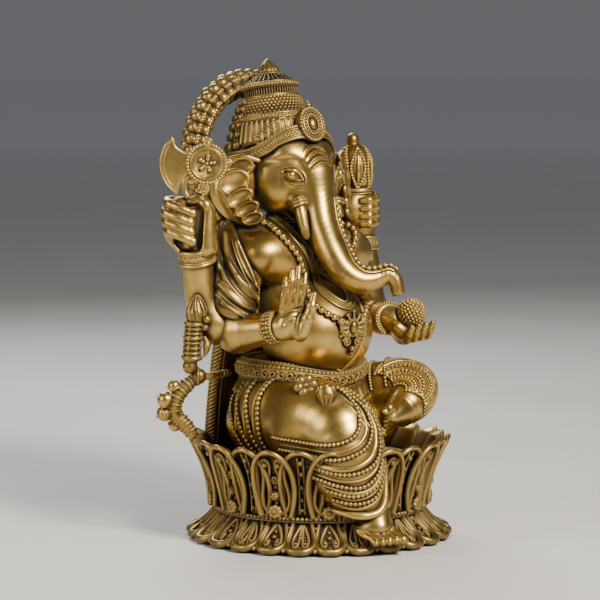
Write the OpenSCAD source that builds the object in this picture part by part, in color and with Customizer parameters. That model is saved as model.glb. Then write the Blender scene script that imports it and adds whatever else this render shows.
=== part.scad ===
// Seated elephant-headed deity on a double lotus base, cast in brass-coloured metal.
// Millimetres, +Z up. The figure faces -Y, so its right hand side is -X.
// The origin is the centre of the felt face that the statue stands on.

/* [Base] */
// Radius of the lower petals' rim
rim_r = 74; // [72:0.5:76]
// Radius of the waist between the two rows of petals
waist_r = 60; // [58:0.5:62]
// Radius of the tall petals' tips
tip_r = 76; // [74:0.5:78]
// Height of the tall petals' tips
tip_z = 57; // [55:0.5:59]
// Number of tall petals
petal_count = 13; // [11:1:15]
// Height of the seat that the figure rests on
seat_z = 46; // [45:0.5:47]

/* [Figure] */
// Half width of the belly
belly_r = 33; // [31:0.5:34]
// Radius of the thighs
thigh_r = 22; // [20:0.5:23]
// Radius of the skull
skull_r = 24; // [23:0.5:25]
// Radius of the forearms
forearm_r = 9; // [8:0.25:9.5]
// Radius of the round sweet in the left hand
sweet_r = 8; // [7:0.25:8.5]

/* [Crown and halo] */
// Radius of the crown's lower tier
crown_r = 27; // [26:0.25:28]
// Radius of the garland arch behind the head
halo_r = 41; // [39:0.5:42]
// Thickness of the garland arch, as a radius
halo_tube_r = 6; // [5:0.25:6.5]

/* [Fastening] */
// Radius of the tie bolt
bolt_r = 3; // [2.5:0.1:3]
// Running clearance round bolts and pins
gap = 0.2; // [0.1:0.05:0.3]

/* [Hidden] */

brass = [0.72, 0.55, 0.26];
dark_brass = [0.50, 0.38, 0.18];
steel = [0.62, 0.62, 0.64];
felt = [0.12, 0.12, 0.12];
round_fn = 72;      // exact round parts
first_petal = -153; // direction of the petal under the right knee
limb_fn = 14;       // spheres inside hulls

// Heights of the base, from the felt upwards
felt_t = 1;
plate_top = 7;
waist_z = 19;
seat_r = waist_r + 8.4;
head_room = 7.2;    // radius of the recess for the bolt head
bolt_head_z = 1.2;
bolt_head_t = 3.6;
washer_t = 1;
petal_t = 4;
petal_half_w = 14.6;
petal_foot = [waist_r + 3.5, waist_z + 1.5];
petal_tip = [tip_r - 1.6, tip_z + 0.6];
small_petal_t = 3.6;
small_petal_half_w = 7.8;
small_petal_foot = [waist_r + 1.5, waist_z - 2];
small_petal_tip = [rim_r - 0.6, felt_t + 3];
bolt_top = 76;
insert_r = 6;
insert_top = 78;

// Landmarks of the figure
ankle_cut = 20;
waist_cut = 92;
neck_cut = 184;
mantle_top = 166;
hip_right = [-22, 22, 66];
knee_right = [-24, -46, 73];
shin_right = [-17, -58, 46];
ankle_right = [-15, -62, 24];
toes_right = [-15, -75, 8];
hip_left = [24, 22, 68];
knee_left = [53, -19, 82];
ankle_left = [31, -33, 73];
belly_at = [0, 3, 118];
chest_at = [0, 23, 157];
shoulder_right = [-35, 22, 163];
shoulder_left = [35, 24, 163];
head_at = [0, 24, 208];
elbow_ur = [-60, 21, 124];
wrist_ur = [-72.5, 21, 164];
fist_ur = [-78, 22, 183];
elbow_lr = [-50, 12, 119];
wrist_lr = [-46, -14, 125];
palm_lr = [-41, -23, 136];
fingers_lr = [-39, -27, 158];
elbow_ul = [61, 27, 126];
wrist_ul = [61, 32, 164];
palm_ul = [61, 35, 182];
mace_top = [58, 37, 224];
elbow_ll = [55, 23, 121];
wrist_ll = [51, -2, 122];
palm_ll = [60, -15, 116];
sweet_at = [58, -15, 127];
axe_low = [-79, 22, 168];
axe_eye = [-71, 13, 215];
axe_turn = -40;     // the axe's flat side faces right of the figure's front
crown_lean = 10;
tier_top = 17;       // heights in the crown's own frame
lattice_top = 29;
drum_top = 35.4;
roof_top = 43.5;
crown_at = [-1.5, 35, 221.5];
halo_at = [0, 64, 220];
halo_drop = 32;     // how far the arch runs below its centre, in degrees
trunk_path = [[0, 2, 206], [0, -4, 193], [-1, -7, 179], [-1, -13, 165], [2, -21, 153],
              [9, -28, 147], [18, -33, 149], [24, -38, 151], [27, -41, 147], [27, -42, 142]];
trunk_r = [11, 10, 9.5, 9, 8.5, 7.5, 6, 5, 4.5, 4];

// ---- shared geometry -------------------------------------------------------

module ball(at, r) {
    translate(at) scale(is_list(r) ? r : [r, r, r]) sphere(1, $fn = limb_fn);
}

// Rounded bar through a list of points, each with its own radius
module chain(points, radii) {
    for (i = [0 : len(points) - 2])
        hull() {
            ball(points[i], radii[i]);
            ball(points[i + 1], radii[i + 1]);
        }
}

module slab_below(z) { translate([-200, -200, z - 400]) cube([400, 400, 400]); }
module slab_above(z) { translate([-200, -200, z]) cube([400, 400, 400]); }

function unit(v) = v / norm(v);
function tangent(path, i, closed) =
    let (n = len(path),
         before = closed ? path[(i + n - 1) % n] : path[max(i - 1, 0)],
         after = closed ? path[(i + 1) % n] : path[min(i + 1, n - 1)])
    unit(after - before);

// Tube of a given radius along a path; flat < 1 squashes its section along up
module tube(path, r, up = [0, 0, 1], closed = false, sides = 10, flat = 1) {
    n = len(path);
    rings = [
        for (i = [0 : n - 1])
            let (t = tangent(path, i, closed), side = unit(cross(t, up)), top = unit(cross(side, t)),
                 ri = is_list(r) ? r[i] : r)
            for (k = [0 : sides - 1])
                path[i] + ri * (cos(360 * k / sides) * side + flat * sin(360 * k / sides) * top)
    ];
    last = closed ? n - 1 : n - 2;
    walls = [
        for (i = [0 : last], k = [0 : sides - 1])
            let (j = (i + 1) % n, m = (k + 1) % sides)
            for (f = [[i * sides + k, i * sides + m, j * sides + m],
                      [i * sides + k, j * sides + m, j * sides + k]]) f
    ];
    ends = closed ? [] : [
        [for (k = [sides - 1 : -1 : 0]) k],
        [for (k = [0 : sides - 1]) (n - 1) * sides + k]
    ];
    polyhedron(rings, concat(walls, ends), convexity = 4);
}

// Straight rod between two points
module rod(from, to, r) {
    v = to - from;
    translate(from) rotate([0, acos(v.z / norm(v)), atan2(v.y, v.x)]) cylinder(h = norm(v), r = r, $fn = round_fn);
}

function ring_point(at, r, a) = at + [r.x * cos(a), r.y * sin(a), 0];
function along(path, s) =
    let (n = len(path) - 1, f = min(s * n, n - 0.0001), i = floor(f))
    path[i] + (f - i) * (path[i + 1] - path[i]);

// ---- base --------------------------------------------------------------------

module felt_pad() {
    color(felt) cylinder(h = felt_t, r = rim_r - 7, $fn = round_fn);
}

module base_plate() {
    color(dark_brass) difference() {
        translate([0, 0, felt_t]) cylinder(h = plate_top - felt_t, r = rim_r - 9, $fn = round_fn);
        translate([0, 0, felt_t - 1])
            cylinder(h = 1 + bolt_head_z - felt_t + bolt_head_t + washer_t, r = head_room, $fn = round_fn);
        cylinder(h = plate_top + 1, r = bolt_r + gap, $fn = round_fn);
    }
}

module tie_bolt() {
    color(steel) union() {
        translate([0, 0, bolt_head_z]) cylinder(h = bolt_head_t, r = 5.77, $fn = 6);
        translate([0, 0, bolt_head_z + bolt_head_t])
            cylinder(h = bolt_top - bolt_head_z - bolt_head_t, r = bolt_r, $fn = round_fn);
    }
}

module bolt_washer() {
    color(steel) translate([0, 0, bolt_head_z + bolt_head_t]) difference() {
        cylinder(h = washer_t, r = 6.5, $fn = round_fn);
        translate([0, 0, -1]) cylinder(h = washer_t + 2, r = bolt_r + gap, $fn = round_fn);
    }
}

// Pointed petal outline: the meeting of two circles, widest at one third of its length
module petal_outline(half_w, length) {
    low = length / 3;
    high = length - low;
    arc_r = (half_w * half_w + high * high) / (2 * half_w);
    intersection() {
        translate([arc_r - half_w, low]) circle(r = arc_r, $fn = round_fn);
        translate([half_w - arc_r, low]) circle(r = arc_r, $fn = round_fn);
        translate([-2 * half_w, 0]) square([4 * half_w, 2 * length]);
    }
}

// One petal leaning from its foot to its tip; foot and tip are given as [radius, height]
module petal(foot, tip, half_w, thick) {
    v = tip - foot;
    translate([foot.x, 0, foot.y]) rotate([0, atan2(v.x, v.y), 0]) rotate([90, 0, 90])
        translate([0, 0, -thick / 2]) linear_extrude(height = thick) petal_outline(half_w, norm(v));
}

module upper_petal(i) {
    rotate(first_petal + 360 * i / petal_count) petal(petal_foot, petal_tip, petal_half_w, petal_t);
}

module lower_petals() {
    color(brass) for (i = [0 : 2 * petal_count - 1])
        rotate(first_petal + 180 * (i + 0.5) / petal_count)
            petal(small_petal_foot, small_petal_tip, small_petal_half_w, small_petal_t);
}
module upper_petals() { color(brass) for (i = [0 : petal_count - 1]) upper_petal(i); }

module lower_lotus() {
    color(brass) rotate_extrude($fn = round_fn)
        polygon([[bolt_r + gap, plate_top], [rim_r - 9, plate_top], [waist_r - 1, waist_z - 4],
                 [waist_r, waist_z], [bolt_r + gap, waist_z]]);
}

module waist_ring() {
    color(dark_brass) rotate_extrude($fn = round_fn)
        translate([waist_r + 0.6, waist_z]) circle(r = 1.2, $fn = 24);
}

module upper_lotus() {
    color(brass) difference() {
        rotate_extrude($fn = round_fn)
            polygon([[bolt_r + gap, waist_z], [waist_r, waist_z], [waist_r + 0.8, waist_z + 1.5],
                     [seat_r, seat_z], [bolt_r + gap, seat_z]]);
        waist_ring();
    }
}

// Two round bosses on each tall petal, standing out from its face
module petal_rosettes() {
    lean = atan2(petal_tip.x - petal_foot.x, petal_tip.y - petal_foot.y);
    color(brass) for (i = [0 : petal_count - 1], up = [6, 15])
        rotate(first_petal + 360 * i / petal_count) translate([petal_foot.x, 0, petal_foot.y])
            rotate([0, lean, 0]) translate([petal_t / 2, 0, up]) rotate([0, 90, 0])
                cylinder(h = 1.6, r = 2.6, $fn = 24);
}

module threaded_insert() {
    color(dark_brass) translate([0, 0, seat_z]) difference() {
        cylinder(h = insert_top - seat_z, r = insert_r, $fn = round_fn);
        translate([0, 0, -1]) cylinder(h = bolt_top - seat_z + 1, r = bolt_r + gap / 4, $fn = round_fn);
    }
}

// ---- hips and legs ------------------------------------------------------------

module right_leg_shape() {
    chain([hip_right, (hip_right + knee_right) / 2 + [0, 0, 2], knee_right, shin_right, ankle_right],
          [thigh_r + 1, thigh_r, thigh_r, thigh_r - 4, 12]);
}

module left_leg_shape() {
    chain([hip_left, (hip_left + knee_left) / 2, knee_left, (knee_left + ankle_left) / 2, ankle_left],
          [thigh_r, thigh_r - 4, 15, 13, 9]);
}

module hips_shape() {
    hull() {
        ball([0, 24, seat_z + 16], [40, 30, 22]);
        ball([0, 20, waist_cut - 6], [34, 27, 14]);
    }
}

module hips() {
    color(brass) difference() {
        hips_shape();
        right_leg_shape();
        left_leg_shape();
        slab_below(seat_z);
        slab_above(waist_cut);
        cylinder(h = insert_top + gap, r = insert_r + gap / 2, $fn = 24);
        figure_pin_holes();
    }
}

module right_leg() {
    color(brass) difference() {
        right_leg_shape();
        left_leg_shape();
        slab_below(ankle_cut);
        torso_shape();
        lotus_envelope();
        for (i = [-1 : 3]) upper_petal(i);
        cylinder(h = insert_top + gap, r = insert_r + gap, $fn = 24);
    }
}
module lotus_envelope() {
    cylinder(h = waist_z + 1, r = rim_r - 6, $fn = 48);
    translate([0, 0, waist_z]) cylinder(h = seat_z - waist_z, r1 = waist_r + 1.2, r2 = seat_r, $fn = 48);
}

module left_leg() {
    color(brass) difference() {
        left_leg_shape();
        slab_below(seat_z);
        torso_shape();
        left_foot_shape();
        lotus_envelope();
    }
}

module right_foot_shape() {
    chain([ankle_right + [0, -7, 4], ankle_right + [0, -9, -5]], [6.5, 6]);
    for (i = [0 : 4])
        chain([ankle_right + [0, -4, -9], toes_right + [6 - 3.1 * i, i * 1.2, 1.5 - 0.25 * i],
               toes_right + [6.5 - 3.3 * i, i * 1.3 - 4, -0.2 - 0.25 * i]],
              [6, 3 - 0.25 * i, 2.6 - 0.25 * i]);
}
module right_foot() {
    color(brass) difference() {
        right_foot_shape();
        slab_above(ankle_cut);
    }
}

module left_foot_shape() {
    chain([ankle_left + [0, 0, 0], ankle_left + [-5, -4, -3]], [7.5, 6.5]);
    for (i = [0 : 4])
        chain([ankle_left + [-4, -3, -2], ankle_left + [-14, -7, 1 - 2.4 * i], ankle_left + [-18, -7.5, 1 - 2.4 * i]],
              [5.5, 2.6, 2.2]);
}
module left_foot() {
    color(brass) difference() {
        left_foot_shape();
        right_leg_shape();
    }
}

// Dowels that carry the torso on the hips, the head on the torso and the crown on the head
pins = [[[0, 24, 84], [0, 24, 102], 4], [[0, 25, 176], [0, 25, 194], 4]];
module figure_pins() {
    color(steel) for (p = pins) rod(p[0], p[1], p[2]);
}
module figure_pin_holes() {
    for (p = pins)
        translate([p[0].x, p[0].y, p[0].z - gap]) cylinder(h = p[1].z - p[0].z + 2 * gap, r = p[2] + gap / 2, $fn = 24);
}

// ---- torso and dress ------------------------------------------------------------

module torso_shape() {
    difference() {
        union() {
            ball(belly_at, [belly_r, 31, 29]);
            hull() {
                ball(chest_at, [31, 18, 21]);
                ball([0, 18, 126], [32, 22, 20]);
            }
            hull() {
                ball([0, 25, 172], [20, 14, 8]);
                ball([0, 25, 186], [14, 13, 8]);
            }
        }
        slab_below(waist_cut);
    }
}

module arm_shapes() {
    upper_right_arm_shape();
    lower_right_arm_shape();
    upper_left_arm_shape();
    lower_left_arm_shape();
}

module torso() {
    color(brass) difference() {
        torso_shape();
        arm_shapes();
        slab_above(neck_cut);
        figure_pin_holes();
    }
}

belt_at = [0, 15, waist_cut + 1];
module belt() {
    color(brass) difference() {
        tube([for (a = [0 : 15 : 345]) ring_point(belt_at, [33.5, 30], a)], 3.4, closed = true);
        torso_shape();
        hips_shape();
        right_leg_shape();
        left_leg_shape();
        lower_right_arm_shape();
    }
}

module belt_flowers() {
    color(brass) for (i = [0 : 3])
        translate([-25 + 12 * i, -20 - 2.5 * sin(180 * (i + 0.5) / 4), waist_cut + 3 - i])
            rotate([65, 0, -22 + 12 * i]) cylinder(h = 4, r1 = 5.4, r2 = 3.2, $fn = round_fn);
}

module back_mantle() {
    color(brass) difference() {
        for (i = [0 : 7]) {
            z0 = seat_z + (mantle_top - seat_z) * i / 8;
            z1 = seat_z + (mantle_top - seat_z) * (i + 1) / 8;
            hull() for (z = [z0, z1])
                let (s = (z - seat_z) / (mantle_top - seat_z))
                    for (side = [-1, 1], row = [0, 1])
                        translate([side * (31 - 8 * s) * (1 - 0.45 * row), 58 - 14 * s * s + 3.5 * row, z])
                            cylinder(h = 0.01, r = 3.2, $fn = 10);
        }
        torso_shape();
        hips_shape();
        arm_shapes();
    }
}

module shawl_shape() {
    chain([shoulder_right + [-3, -1, 3], (shoulder_right + elbow_lr) / 2 + [-5, 0, 0], elbow_lr + [-3, 2, 9]],
          [15, 15.5, 13.5]);
}
module shawl() {
    color(brass) difference() {
        shawl_shape();
        arm_shapes();
        torso_shape();
        hair_shape();
        hips_shape();
        translate([-100, 22, 60]) cube([100, 40, 84]);
    }
}

module hair_shape() {
    for (i = [0 : 3])
        chain([[-26 - 2 * i, 44 - 4 * i, 180 - 3 * i], [-37 - 3 * i, 42 - 4 * i, 166 - 4 * i],
               [-40 - 3.4 * i, 41 - 4 * i, 152 - 4 * i]], [4.5, 4.5, 3]);
}
module hair_locks() {
    color(dark_brass) difference() {
        hair_shape();
        torso_shape();
        arm_shapes();
    }
}

// Necklace: it lies on the chest and the belly; row 0 is the inner string, row 1 the outer
necklace_side = [[19, 19, 172], [22, 12, 163], [22, 7, 153], [18, -5, 143], [9, -19, 136]];
necklace_low = [0, -26, 133];
function hung(p, row) = [p.x * (1 + 0.16 * row), p.y - 1.5 * row, p.z - 6 * row];
function necklace(row) = concat(
    [for (p = necklace_side) hung([-p.x, p.y, p.z], row)],
    [hung(necklace_low, row)],
    [for (i = [len(necklace_side) - 1 : -1 : 0]) hung(necklace_side[i], row)]);

module collar() {
    color(brass) difference() {
        tube(necklace(0), 2.4, up = [0, 1, 0.4], sides = 8);
        torso_shape();
        head_shape();
    }
}

module necklace_beads() {
    color(brass) for (i = [0 : 22])
        translate(along(necklace(1), 0.06 + 0.88 * i / 22)) sphere(r = 2, $fn = 24);
}

module pendant() {
    color(brass) translate(necklace_low + [0, -2, -9]) rotate([80, 0, 0])
        cylinder(h = 3, r1 = 8, r2 = 5, $fn = round_fn);
}

// ---- head ------------------------------------------------------------------------

module head_shape() {
    difference() {
        union() {
            ball(head_at, [skull_r, 25, 22]);
            hull() {
                ball([0, 14, 214], [21, 17, 18]);
                ball([0, 3, 205], [12, 11, 14]);
            }
            hull() for (s = [-1, 1]) ball([s * 12, 12, 198], [11, 16, 13]);
        }
        slab_below(neck_cut);
    }
}

module head() {
    color(brass) difference() {
        head_shape();
        trunk_shape();
        crown_envelope();
        figure_pin_holes();
        ear_shape(-1);
        ear_shape(1);
        tusk_shape(-1, 1);
        tusk_shape(1, 0.5);
    }
}

module trunk_shape() { chain(trunk_path, trunk_r); }
module trunk() { color(brass) trunk_shape(); }

module trunk_beads() {
    color(brass) for (i = [0 : 17]) {
        s = 0.10 + 0.045 * i;
        curl = max(0, min(1, (s - 0.25) / 0.3));
        outward = unit([0.77, -0.64, 0] * (1 - curl) + [0.25, -0.2, 0.95] * curl);
        translate(along(trunk_path, s) + outward * (along(trunk_r, s) + 0.6)) sphere(r = 1.45, $fn = 24);
    }
}

module tusk_shape(side, share) {
    chain([[side * 13, 2, 192], [side * 17, -4, 190 - 5 * share], [side * (17 + share), -8, 190 - 13 * share],
           [side * (16 + share), -10, 190 - 17 * share]], [4.4, 4, 3.1, 1.6]);
}
module right_tusk() { color(brass) tusk_shape(-1, 1); }
module left_tusk() { color(brass) tusk_shape(1, 0.5); }

// Ear: a fan that stands out from the cheek, a little behind it
module ear_shape(side) {
    hull() {
        ball([side * 24, 19, 216], [3, 6, 6]);
        ball([side * 38, 27, 212], [4, 3, 6]);
        ball([side * 38, 29, 196], [4, 3, 8]);
        ball([side * 25, 22, 186], [4, 4, 5]);
        ball([side * 22, 18, 200], [3, 6, 10]);
    }
}
module right_ear() { color(brass) ear_shape(-1); }
module left_ear() { color(brass) ear_shape(1); }

// ---- crown -----------------------------------------------------------------------

module on_crown() { translate(crown_at) rotate([-crown_lean, 0, 0]) children(); }
module crown_envelope() { on_crown() translate([0, 0, -4]) cylinder(h = 60, r = crown_r + gap, $fn = 48); }

// Each tier stands on the one below: height of its foot, height of its top, radii there
module crown_stage(z0, z1, r0, r1) {
    translate([0, 0, z0]) cylinder(h = z1 - z0, r1 = r0, r2 = r1, $fn = round_fn);
}

// The band stands higher over the forehead than over the neck
module crown_band() {
    color(brass) on_crown() difference() {
        crown_stage(-4, 16, crown_r + 1.5, crown_r - 1);
        translate([0, 0, 3]) cylinder(h = 20, r1 = crown_r - 1, r2 = crown_r - 7.1, $fn = round_fn);
        rotate([-16, 0, 0]) translate([-60, -60, 7]) cube([120, 120, 40]);
    }
}
module crown_tier() { color(brass) on_crown() crown_stage(3, tier_top, crown_r - 1, crown_r - 5); }
module crown_lattice() { color(brass) on_crown() crown_stage(tier_top, lattice_top, crown_r - 5.4, crown_r - 11); }
module crown_drum() { color(brass) on_crown() crown_stage(lattice_top, drum_top, crown_r - 11.5, crown_r - 11.5); }
module crown_roof() {
    color(brass) on_crown() rotate_extrude($fn = round_fn)
        polygon([[0, drum_top], [crown_r - 11, drum_top], [crown_r - 10.6, drum_top + 1.5],
                 [6.6, roof_top], [0, roof_top]]);
}
module crown_finial() {
    color(brass) on_crown() rotate_extrude($fn = round_fn)
        polygon([[0, roof_top], [6, roof_top], [6.6, roof_top + 1.5], [3, roof_top + 6.4],
                 [1.2, roof_top + 8.2], [0, roof_top + 8.8]]);
}
module crown_medallion() {
    color(brass) translate([0, crown_at.y - crown_r + 4, crown_at.z + 14]) rotate([80, 0, 0])
        linear_extrude(height = 6) union() {
            circle(r = 7.6, $fn = round_fn);
            polygon([[-7, 2.9], [7, 2.9], [0.8, 11.5], [-0.8, 11.5]]);
        }
}

halo_foot = [22, 49, mantle_top];
halo_path = concat(
    [[-halo_foot.x, halo_foot.y, halo_foot.z], [-25, 52, 178]],
    [for (a = [180 + halo_drop : -14 : -halo_drop]) halo_at + [halo_r * cos(a), 0, halo_r * sin(a)]],
    [[25, 52, 178], halo_foot]);
module halo_garland() { color(brass) tube(halo_path, halo_tube_r, up = [0, 1, 0], sides = 12); }

// ---- arms, hands and what they hold -------------------------------------------------

module upper_right_arm_shape() {
    chain([shoulder_right + [0, 3, 0], elbow_ur, wrist_ur], [13, forearm_r + 1.5, forearm_r - 0.6]);
}
module lower_right_arm_shape() {
    chain([shoulder_right + [1, -3, -1], elbow_lr, wrist_lr], [15, forearm_r + 2.5, forearm_r - 1]);
}
module upper_left_arm_shape() {
    chain([shoulder_left + [0, 3, 0], elbow_ul, wrist_ul], [13, forearm_r + 1, forearm_r - 1.4]);
}
module lower_left_arm_shape() {
    chain([shoulder_left + [-1, -4, -1], elbow_ll, wrist_ll], [15, forearm_r + 1.5, forearm_r - 1]);
}
module past_wrist(from, at) {
    v = unit(at - from);
    translate(at) rotate([0, acos(v.z), atan2(v.y, v.x)]) cylinder(h = 30, r = 30, $fn = 24);
}

module upper_right_arm() {
    color(brass) difference() {
        upper_right_arm_shape();
        lower_right_arm_shape();
        past_wrist(elbow_ur, wrist_ur);
    }
}
module lower_right_arm() {
    color(brass) difference() {
        lower_right_arm_shape();
        past_wrist(elbow_lr, wrist_lr);
    }
}
module upper_left_arm() {
    color(brass) difference() {
        upper_left_arm_shape();
        lower_left_arm_shape();
        past_wrist(elbow_ul, wrist_ul);
    }
}
module lower_left_arm() {
    color(brass) difference() {
        lower_left_arm_shape();
        past_wrist(elbow_ll, wrist_ll);
    }
}

module bangle(from, at, r) {
    v = unit(at - from);
    color(brass) translate(at - 2 * v) rotate([0, acos(v.z), atan2(v.y, v.x)])
        translate([0, 0, -3.5]) difference() {
            cylinder(h = 7, r = r + 2.4, $fn = round_fn);
            translate([0, 0, -1]) cylinder(h = 9, r = r + 1, $fn = round_fn);
        }
}
module upper_right_bangle() { bangle(elbow_ur, wrist_ur, forearm_r - 0.5); }
module lower_right_bangle() { bangle(elbow_lr, wrist_lr, forearm_r - 0.8); }
module upper_left_bangle() { bangle(elbow_ul, wrist_ul, forearm_r - 1.2); }
module lower_left_bangle() { bangle(elbow_ll, wrist_ll, forearm_r - 0.8); }

// Fist: the palm stands to the right of the handle and four fingers close round it
module upper_right_hand() {
    color(brass) difference() {
        union() {
            chain([wrist_ur, wrist_ur + [1, 0.5, 7], fist_ur + [8, -6, 6]], [7, 7, 4]);
            for (i = [0 : 3])
                chain([fist_ur + [2, 4, 7 - 5 * i], fist_ur + [-7, 2, 7 - 5 * i], fist_ur + [-6, -6, 5 - 5 * i],
                       fist_ur + [1, -8, 4 - 5 * i]], [3, 3, 2.8, 2.4]);
            chain([fist_ur + [8, -6, 2], fist_ur + [6, -8, 10], fist_ur + [5, -7, 15]], [4, 3, 2.4]);
        }
        rod(axe_low, axe_eye, 2.6);
        past_wrist(wrist_ur, elbow_ur + 0.999 * (wrist_ur - elbow_ur));
    }
}

module axe_handle() { color(brass) rod(axe_low, axe_eye - 0.18 * (axe_eye - axe_low), 2.2); }
module on_axe() { translate(axe_eye) rotate([0, 0, axe_turn]) rotate([90, 0, 0]) children(); }
module axe_boss() { color(brass) on_axe() cylinder(h = 6, r = 9.8, center = true, $fn = round_fn); }

// Crescent blade: a broad arc cut back by two smaller circles above and below its neck
module axe_blade() {
    color(brass) difference() {
        on_axe() translate([0, 0, -1.2]) linear_extrude(height = 2.4) difference() {
            translate([-3, 0]) circle(r = 22, $fn = round_fn);
            translate([-9, 17.5]) circle(r = 12.6, $fn = round_fn);
            translate([-9, -17.5]) circle(r = 12.6, $fn = round_fn);
            translate([-4, -50]) square([60, 100]);
        }
        on_axe() cylinder(h = 8, r = 9.9, center = true, $fn = round_fn);
    }
}

// Open hand, palm to the front
module lower_right_hand() {
    color(brass) difference() {
        union() {
            chain([wrist_lr, palm_lr + [-1, 2, -4], palm_lr + [-1, 1, 5]], [7.5, [8.5, 5, 8], [8.5, 4.4, 7]]);
            for (i = [0 : 3])
                chain([palm_lr + [-7 + 4.2 * i, 0, 6], palm_lr + [-7.5 + 4.6 * i, -2, 16 + 1.5 * sin(60 * i)],
                       fingers_lr + [-7 + 4.8 * i, -2, 2 * sin(60 * i)]], [3, 2.6, 2.1]);
            chain([palm_lr + [4, -2, -2], palm_lr + [12, -5, 6], palm_lr + [13, -6, 14]], [4, 3, 2.3]);
        }
        past_wrist(wrist_lr, elbow_lr + 0.999 * (wrist_lr - elbow_lr));
    }
}

module upper_left_hand() {
    color(brass) difference() {
        union() {
            chain([wrist_ul, palm_ul + [0, 0, -6], palm_ul + [-2, 0, 6]], [7, [6, 7, 6], [5, 8, 6]]);
            for (i = [0 : 3])
                chain([palm_ul + [-5, 4, 6 - 4.4 * i], palm_ul + [-6, -5, 5 - 4.4 * i],
                       palm_ul + [0, -9, 4 - 4.4 * i]], [2.8, 2.6, 2.3]);
        }
        mace_shape();
        past_wrist(wrist_ul, elbow_ul + 0.999 * (wrist_ul - elbow_ul));
    }
}

// Lotus bud on a short stem, with a teardrop body
module mace_shape() {
    chain([palm_ul + [2, -3, -8], palm_ul + [1, -2, 6], palm_ul + [0, 0, 18], mace_top + [0, 0, -9], mace_top],
          [2.6, 3.4, 8.4, 7.6, 2.6]);
}
module lotus_mace() { color(brass) mace_shape(); }

// Cupped hand with the palm up
module lower_left_hand() {
    color(brass) difference() {
        union() {
            chain([wrist_ll, palm_ll + [-3, 3, 0], palm_ll + [2, -5, 0]], [7.5, [9, 7, 6], [9, 7, 5.4]]);
            for (i = [0 : 3])
                chain([palm_ll + [-4 + 4.6 * i, -8, 0], palm_ll + [-3 + 4.8 * i, -12, 5], palm_ll + [-2 + 4.6 * i, -11, 10]],
                      [3, 2.7, 2.2]);
            chain([palm_ll + [-8, 0, 1], palm_ll + [-10, -4, 7], palm_ll + [-8, -6, 11]], [3.6, 3, 2.4]);
        }
        ball(sweet_at, sweet_r + 0.1);
        past_wrist(wrist_ll, elbow_ll + 0.999 * (wrist_ll - elbow_ll));
    }
}

module sweet() { color(brass) translate(sweet_at) sphere(r = sweet_r, $fn = round_fn); }

// ---- hanging garland at the figure's right ---------------------------------------------

garland_path = [[-75, 17, 139], [-76, 18, 128], [-76.5, 19, 117], [-76.5, 20, 108], [-75, 20, 98],
                [-77, 24, 90], [-80, 28, 82], [-79, 31, 75], [-74, 29, 69], [-70, 27, 63]];
garland_r = [2.5, 6, 4.6, 5, 6.2, 3.6, 3.6, 3.4, 4, 4.4];
module garland_strut_shape() { chain([[-73, 19, 95], [-52, 32, 93], [-30, 46, 92]], [4.5, 2, 2]); }
module side_garland() {
    color(brass) difference() {
        union() {
            chain(garland_path, garland_r);
            garland_strut_shape();
        }
        hips_shape();
        upper_right_arm_shape();
        lotus_envelope();
    }
}

bell_at = [[-84, 27, 90, 3.4], [-87, 31, 82, 4.6], [-85.5, 34, 74, 4.4], [-78, 34, 67, 3.8]];
module garland_bells() {
    color(brass) for (b = bell_at) translate([b.x, b.y, b.z]) sphere(r = b[3], $fn = 36);
}

felt_pad();
base_plate();
tie_bolt();
bolt_washer();
lower_lotus();
lower_petals();
waist_ring();
upper_lotus();
upper_petals();
petal_rosettes();
threaded_insert();
hips();
torso();
right_leg();
left_leg();
right_foot();
left_foot();
figure_pins();
belt();
belt_flowers();
back_mantle();
shawl();
hair_locks();
collar();
necklace_beads();
pendant();
head();
trunk();
trunk_beads();
right_tusk();
left_tusk();
right_ear();
left_ear();
crown_band();
crown_tier();
crown_lattice();
crown_drum();
crown_roof();
crown_finial();
crown_medallion();
halo_garland();
upper_right_arm();
upper_right_hand();
upper_right_bangle();
axe_handle();
axe_blade();
axe_boss();
lower_right_arm();
lower_right_hand();
lower_right_bangle();
upper_left_arm();
upper_left_hand();
upper_left_bangle();
lotus_mace();
lower_left_arm();
lower_left_hand();
lower_left_bangle();
sweet();
side_garland();
garland_bells();
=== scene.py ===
"""Looks of a seated elephant-headed deity statue in antique brass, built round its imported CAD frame.

Lengths are in millimetres in the frame's own axes (+Z up, the figure faces -Y, its right is -X)
and turn into metres only when a Blender mesh is made.
"""
import math

import bpy
import numpy as np
import openvdb
from mathutils import Matrix, Vector


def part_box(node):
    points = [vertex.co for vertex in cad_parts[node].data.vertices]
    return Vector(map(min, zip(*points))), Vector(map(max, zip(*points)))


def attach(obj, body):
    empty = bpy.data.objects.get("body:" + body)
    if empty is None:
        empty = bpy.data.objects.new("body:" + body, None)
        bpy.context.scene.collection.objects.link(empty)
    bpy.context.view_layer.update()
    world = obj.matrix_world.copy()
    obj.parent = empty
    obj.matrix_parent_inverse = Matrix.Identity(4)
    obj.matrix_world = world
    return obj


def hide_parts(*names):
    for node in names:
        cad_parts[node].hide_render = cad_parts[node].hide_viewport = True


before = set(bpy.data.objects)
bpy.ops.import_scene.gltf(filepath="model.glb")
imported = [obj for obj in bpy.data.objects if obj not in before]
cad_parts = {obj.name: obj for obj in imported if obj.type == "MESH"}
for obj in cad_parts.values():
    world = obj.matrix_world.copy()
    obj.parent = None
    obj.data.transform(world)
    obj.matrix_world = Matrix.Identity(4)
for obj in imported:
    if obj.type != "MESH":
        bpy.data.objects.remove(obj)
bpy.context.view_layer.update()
MM = 0.001
FINE = 1.0
FAR = 12.0                                 # distance stored where no clay is near
rng = np.random.default_rng(7)

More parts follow.
